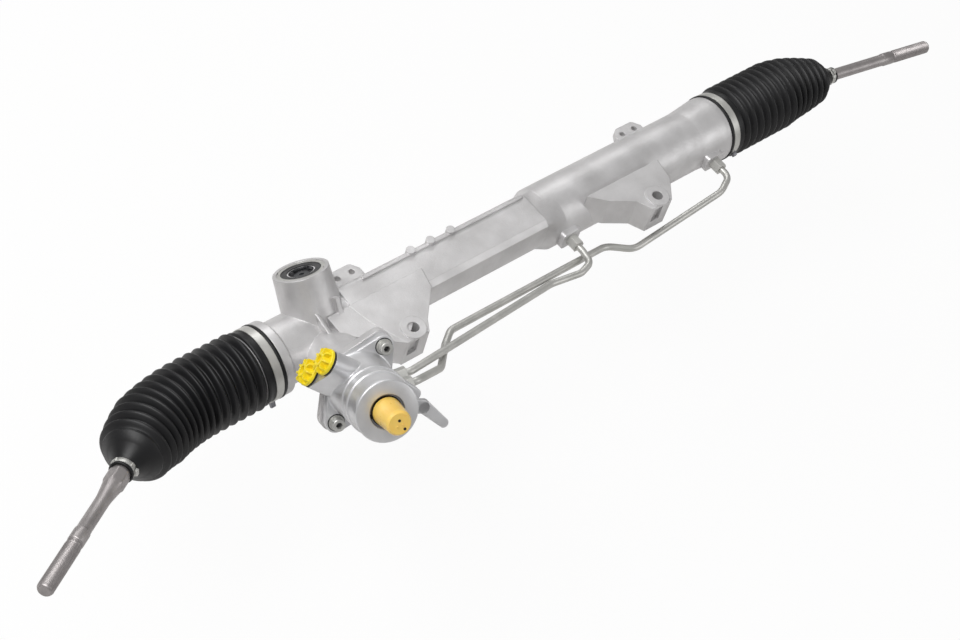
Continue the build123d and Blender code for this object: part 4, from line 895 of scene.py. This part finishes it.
def make_valve_housing(material):
    """Valve housing: lugged flange, smooth wall with two ribs, rim, ports, lobe and finger."""
    flange = hull_outline([(0, 0, FLANGE_R), *((u, b, LUG_R) for u, b in SCREWS)])
    back = mesh_point + pinion_dir * FLANGE_BACK
    shapes = [rounded_prism(back, across_dir, yoke_dir, flange, FLANGE_DEPTH, 1.0 * MM)]
    wall = [
        (108, 26), (117.8, 26), (118.0, 35.0), (118.6, 33.9), (120, 33.3), (132, 32.9), (160, 31.9),
        (190, 31.5), (196.9, 31.5), (197.6, 31.1), (198, 30.3), (198, 17.6), (184, 17.5), (184, 15),
        (166, 15), (166, 20.3), (77, 20.3),
    ]
    shapes.append(revolved(mesh_point, pinion_dir, in_metres(wall), 144))
    for s in (158, 172):
        rib = [(s, 30), (s, 32.7), (s + 0.8, 33.1), (s + 2.2, 33.1), (s + 3, 32.5), (s + 3, 30)]
        shapes.append(revolved(mesh_point, pinion_dir, in_metres(rib), 144))
    foot = mesh_point + hose_dir * SLAB_FOOT
    slab = prism(foot, pinion_dir, hose_side, slab_outline(), SLAB_TOP - SLAB_FOOT, caps=False)
    shapes += [slab, *slab_top()]
    pipe_boss = in_metres([(18, 0), (18, 9.6), (33.2, 9.6), (33.9, 9.0), (33.9, 4.1), (20, 4.1)])
    for s, b in ((121, -5), (136, -10)):
        shapes.append(revolved(valve_point(s, 0, b), across_dir, pipe_boss, 48))
    lobe = hull_outline([(20, 0, 16), (37, -5, 5.5)])
    shapes.append(rounded_prism(valve_point(163), across_dir, yoke_dir, lobe, 12 * MM, 1.2 * MM))
    finger = hull_outline([(24, -20, 7), (46, -29, 7)])
    tip = hull_outline([(46, -29, 7), (61, -53, 5)])
    for arm in (finger, tip):
        shapes.append(rounded_prism(valve_point(150), across_dir, yoke_dir, arm, 9 * MM, 1.5 * MM))
    make_piece("valve_housing_cast", shapes, material, "housing", "valve_housing")


def make_screw_shade(material):
    """Painted shade: a dark disc at the bottom of each screw's hexagon recess, and a thin dark ring as the shadow
    under each washer.
    """
    socket_floor_shade = in_metres([(122.6, 0), (122.9, 3.2), (122.9, 0)])
    washer_gap_shade = in_metres([(117.9, 7.4), (118.2, 8.9), (118.5, 8.4), (118.5, 7.4)])
    shapes = []
    for u, b in SCREWS:
        start = valve_point(0, u, b)
        shapes.append(revolved(start, pinion_dir, socket_floor_shade, 24))
        shapes.append(revolved(start, pinion_dir, washer_gap_shade, 48, closed=True))
    make_piece("valve_screw_shade", shapes, material, "housing")


def make_cap_vent_shade(material):
    """Painted shade of two small vent holes in the end of the shaft's transport cap: thin dark discs on its end
    face, not real holes.
    """
    dot = in_metres([(231.5, 1.5), (232.06, 1.5), (232.06, 0)])
    places = ((0.45, 3.15), (3.45, -6.57))
    shapes = [revolved(valve_point(0, u, b), pinion_dir, dot, 24) for u, b in places]
    make_piece("shaft_cap_vent_shade", shapes, material, "shaft_cap")


def make_casting_forms(material):
    """Forms of the casting that the solids leave out: the near web's inner end and a gusset."""
    x_dir, y_dir = Vector((1, 0, 0)), Vector((0, 1, 0))
    ear_x = mounts["near_ear_hole"]["pos_m"][0]
    web_end = mesh_point.x - 4 * MM
    web = [
        (ear_x - 17 * MM, -12 * MM), (ear_x + 10 * MM, 10 * MM), (ear_x + 56 * MM, 56 * MM),
        (web_end, 56 * MM), (web_end, 30 * MM),
    ]
    shapes = [prism(Vector((0, 0, -38.5 * MM)), x_dir, y_dir, web, 36.7 * MM)]
    axis = Vector((mesh_point.x - 14 * MM, near_ball.y, near_ball.z))
    side = x_dir.cross(yoke_dir)
    gusset = in_metres([(34, 27), (31, 31), (8, 50), (4, 51), (2, 27)])
    shapes.append(rounded_prism(axis, yoke_dir, side, gusset, 4 * MM, 0.8 * MM))
    make_piece("housing_casting_forms", shapes, material, "housing")


def make_clamp_tang(side, x, turn, reach, material):
    """Locking tang that sticks out of a wide boot clamp."""
    a = math.radians(turn)
    spoke = Vector((0, math.cos(a), math.sin(a)))
    run = Vector((0, -math.sin(a), math.cos(a)))
    width = 5.2 * MM
    left = [(-3.5, 39.0), (-3.5, 42.0), (-1.6, reach)]
    right = [(1.6, reach), (2.2, 42.2), (5.0, 41.6), (5.0, 39.0)]
    start = Vector((x - width / 2, near_ball.y, near_ball.z))
    shape = prism(start, run, spoke, in_metres(left + right), -width)
    make_piece(f"{side}_big_clamp_tang", [shape], material, "housing")


def make_port_cap(name, port, materials):
    """Plug of a hose port: stem, thin disc and a star of ribs, over a black washer."""
    origin = mesh_point + pinion_dir * port[0] + hose_side * port[1]
    body = [
        (36, 6), (36, 7.95), (52, 7.95), (52, 12.6), (52.6, 13.4), (55.0, 13.4), (55.6, 12.8),
        (55.6, 7.5), (62.2, 7.0), (62.2, 4.2), (57, 4.0), (57, 0),
    ]
    shapes = [revolved(origin, hose_dir, in_metres(body))]
    rib = in_metres([(6.0, 55.2), (12.9, 55.2), (12.4, 60.6), (11.4, 61.8), (6.0, 61.8)])
    rib_width = 1.8 * MM
    ribs = 9
    for i in range(ribs):
        a = 2 * math.pi * i / ribs + 0.2
        spoke = pinion_dir * math.cos(a) + hose_side * math.sin(a)
        start = origin - hose_dir.cross(spoke) * (rib_width / 2)
        shapes.append(prism(start, spoke, hose_dir, rib, -rib_width))
    make_piece(f"{name}_star", shapes, materials["yellow_plastic"], name, name)
    ring = rounded_ring(8.0 * MM, 12.6 * MM, 50.2 * MM, 52.0 * MM, 0.5 * MM)
    washer = revolved(origin, hose_dir, ring, closed=True)
    make_piece(f"{name}_washer", [washer], materials["seal_rubber"], name)


make_stage()
materials = make_materials()
dress_nodes(materials)
rubber_look, rod_look = materials["boot_rubber"], materials["rod_steel"]
make_boot("near", near_end_x, near_ball, near_dir, 15, near_ridge, NEAR_SEAT_R, rubber_look)
make_boot("far", far_end_x, far_ball, far_dir, 14, far_ridge, FAR_SEAT_R, rubber_look)

# Hexagons of the tie rods: start, end and half width across flats
near_hexagon = (91 * MM, 110 * MM, 9.7 * MM)
far_hexagon = (50 * MM, 64 * MM, 8.5 * MM)
make_tie_rod("near", near_ball, near_dir, near_hexagon, NEAR_SEAT_R, rod_look)
make_tie_rod("far", far_ball, far_dir, far_hexagon, ROD_R, rod_look)

make_small_clamp("near", near_ball, near_dir, NEAR_SEAT_R + BOOT_WALL, materials["zinc_steel"])
make_small_clamp("far", far_ball, far_dir, FAR_SEAT_R + BOOT_WALL, materials["zinc_steel"])
make_valve_housing(materials["machined_alloy"])
# Painted shade in the screws' hexagon recesses and under their washers, in the black steel material
make_screw_shade(materials["black_steel"])
# Painted shade of the cap's two vent holes, as dark rubber discs
make_cap_vent_shade(materials["seal_rubber"])
make_casting_forms(materials["cast_alloy"])
make_clamp_tang("near", near_end_x + 14 * MM, -137, 47.5, materials["spring_steel"])
make_clamp_tang("far", far_end_x - 14 * MM, -168, 45.0, materials["spring_steel"])
for cap_name, port in zip(("lower_port_cap", "upper_port_cap"), PORTS):
    make_port_cap(cap_name, port, materials)
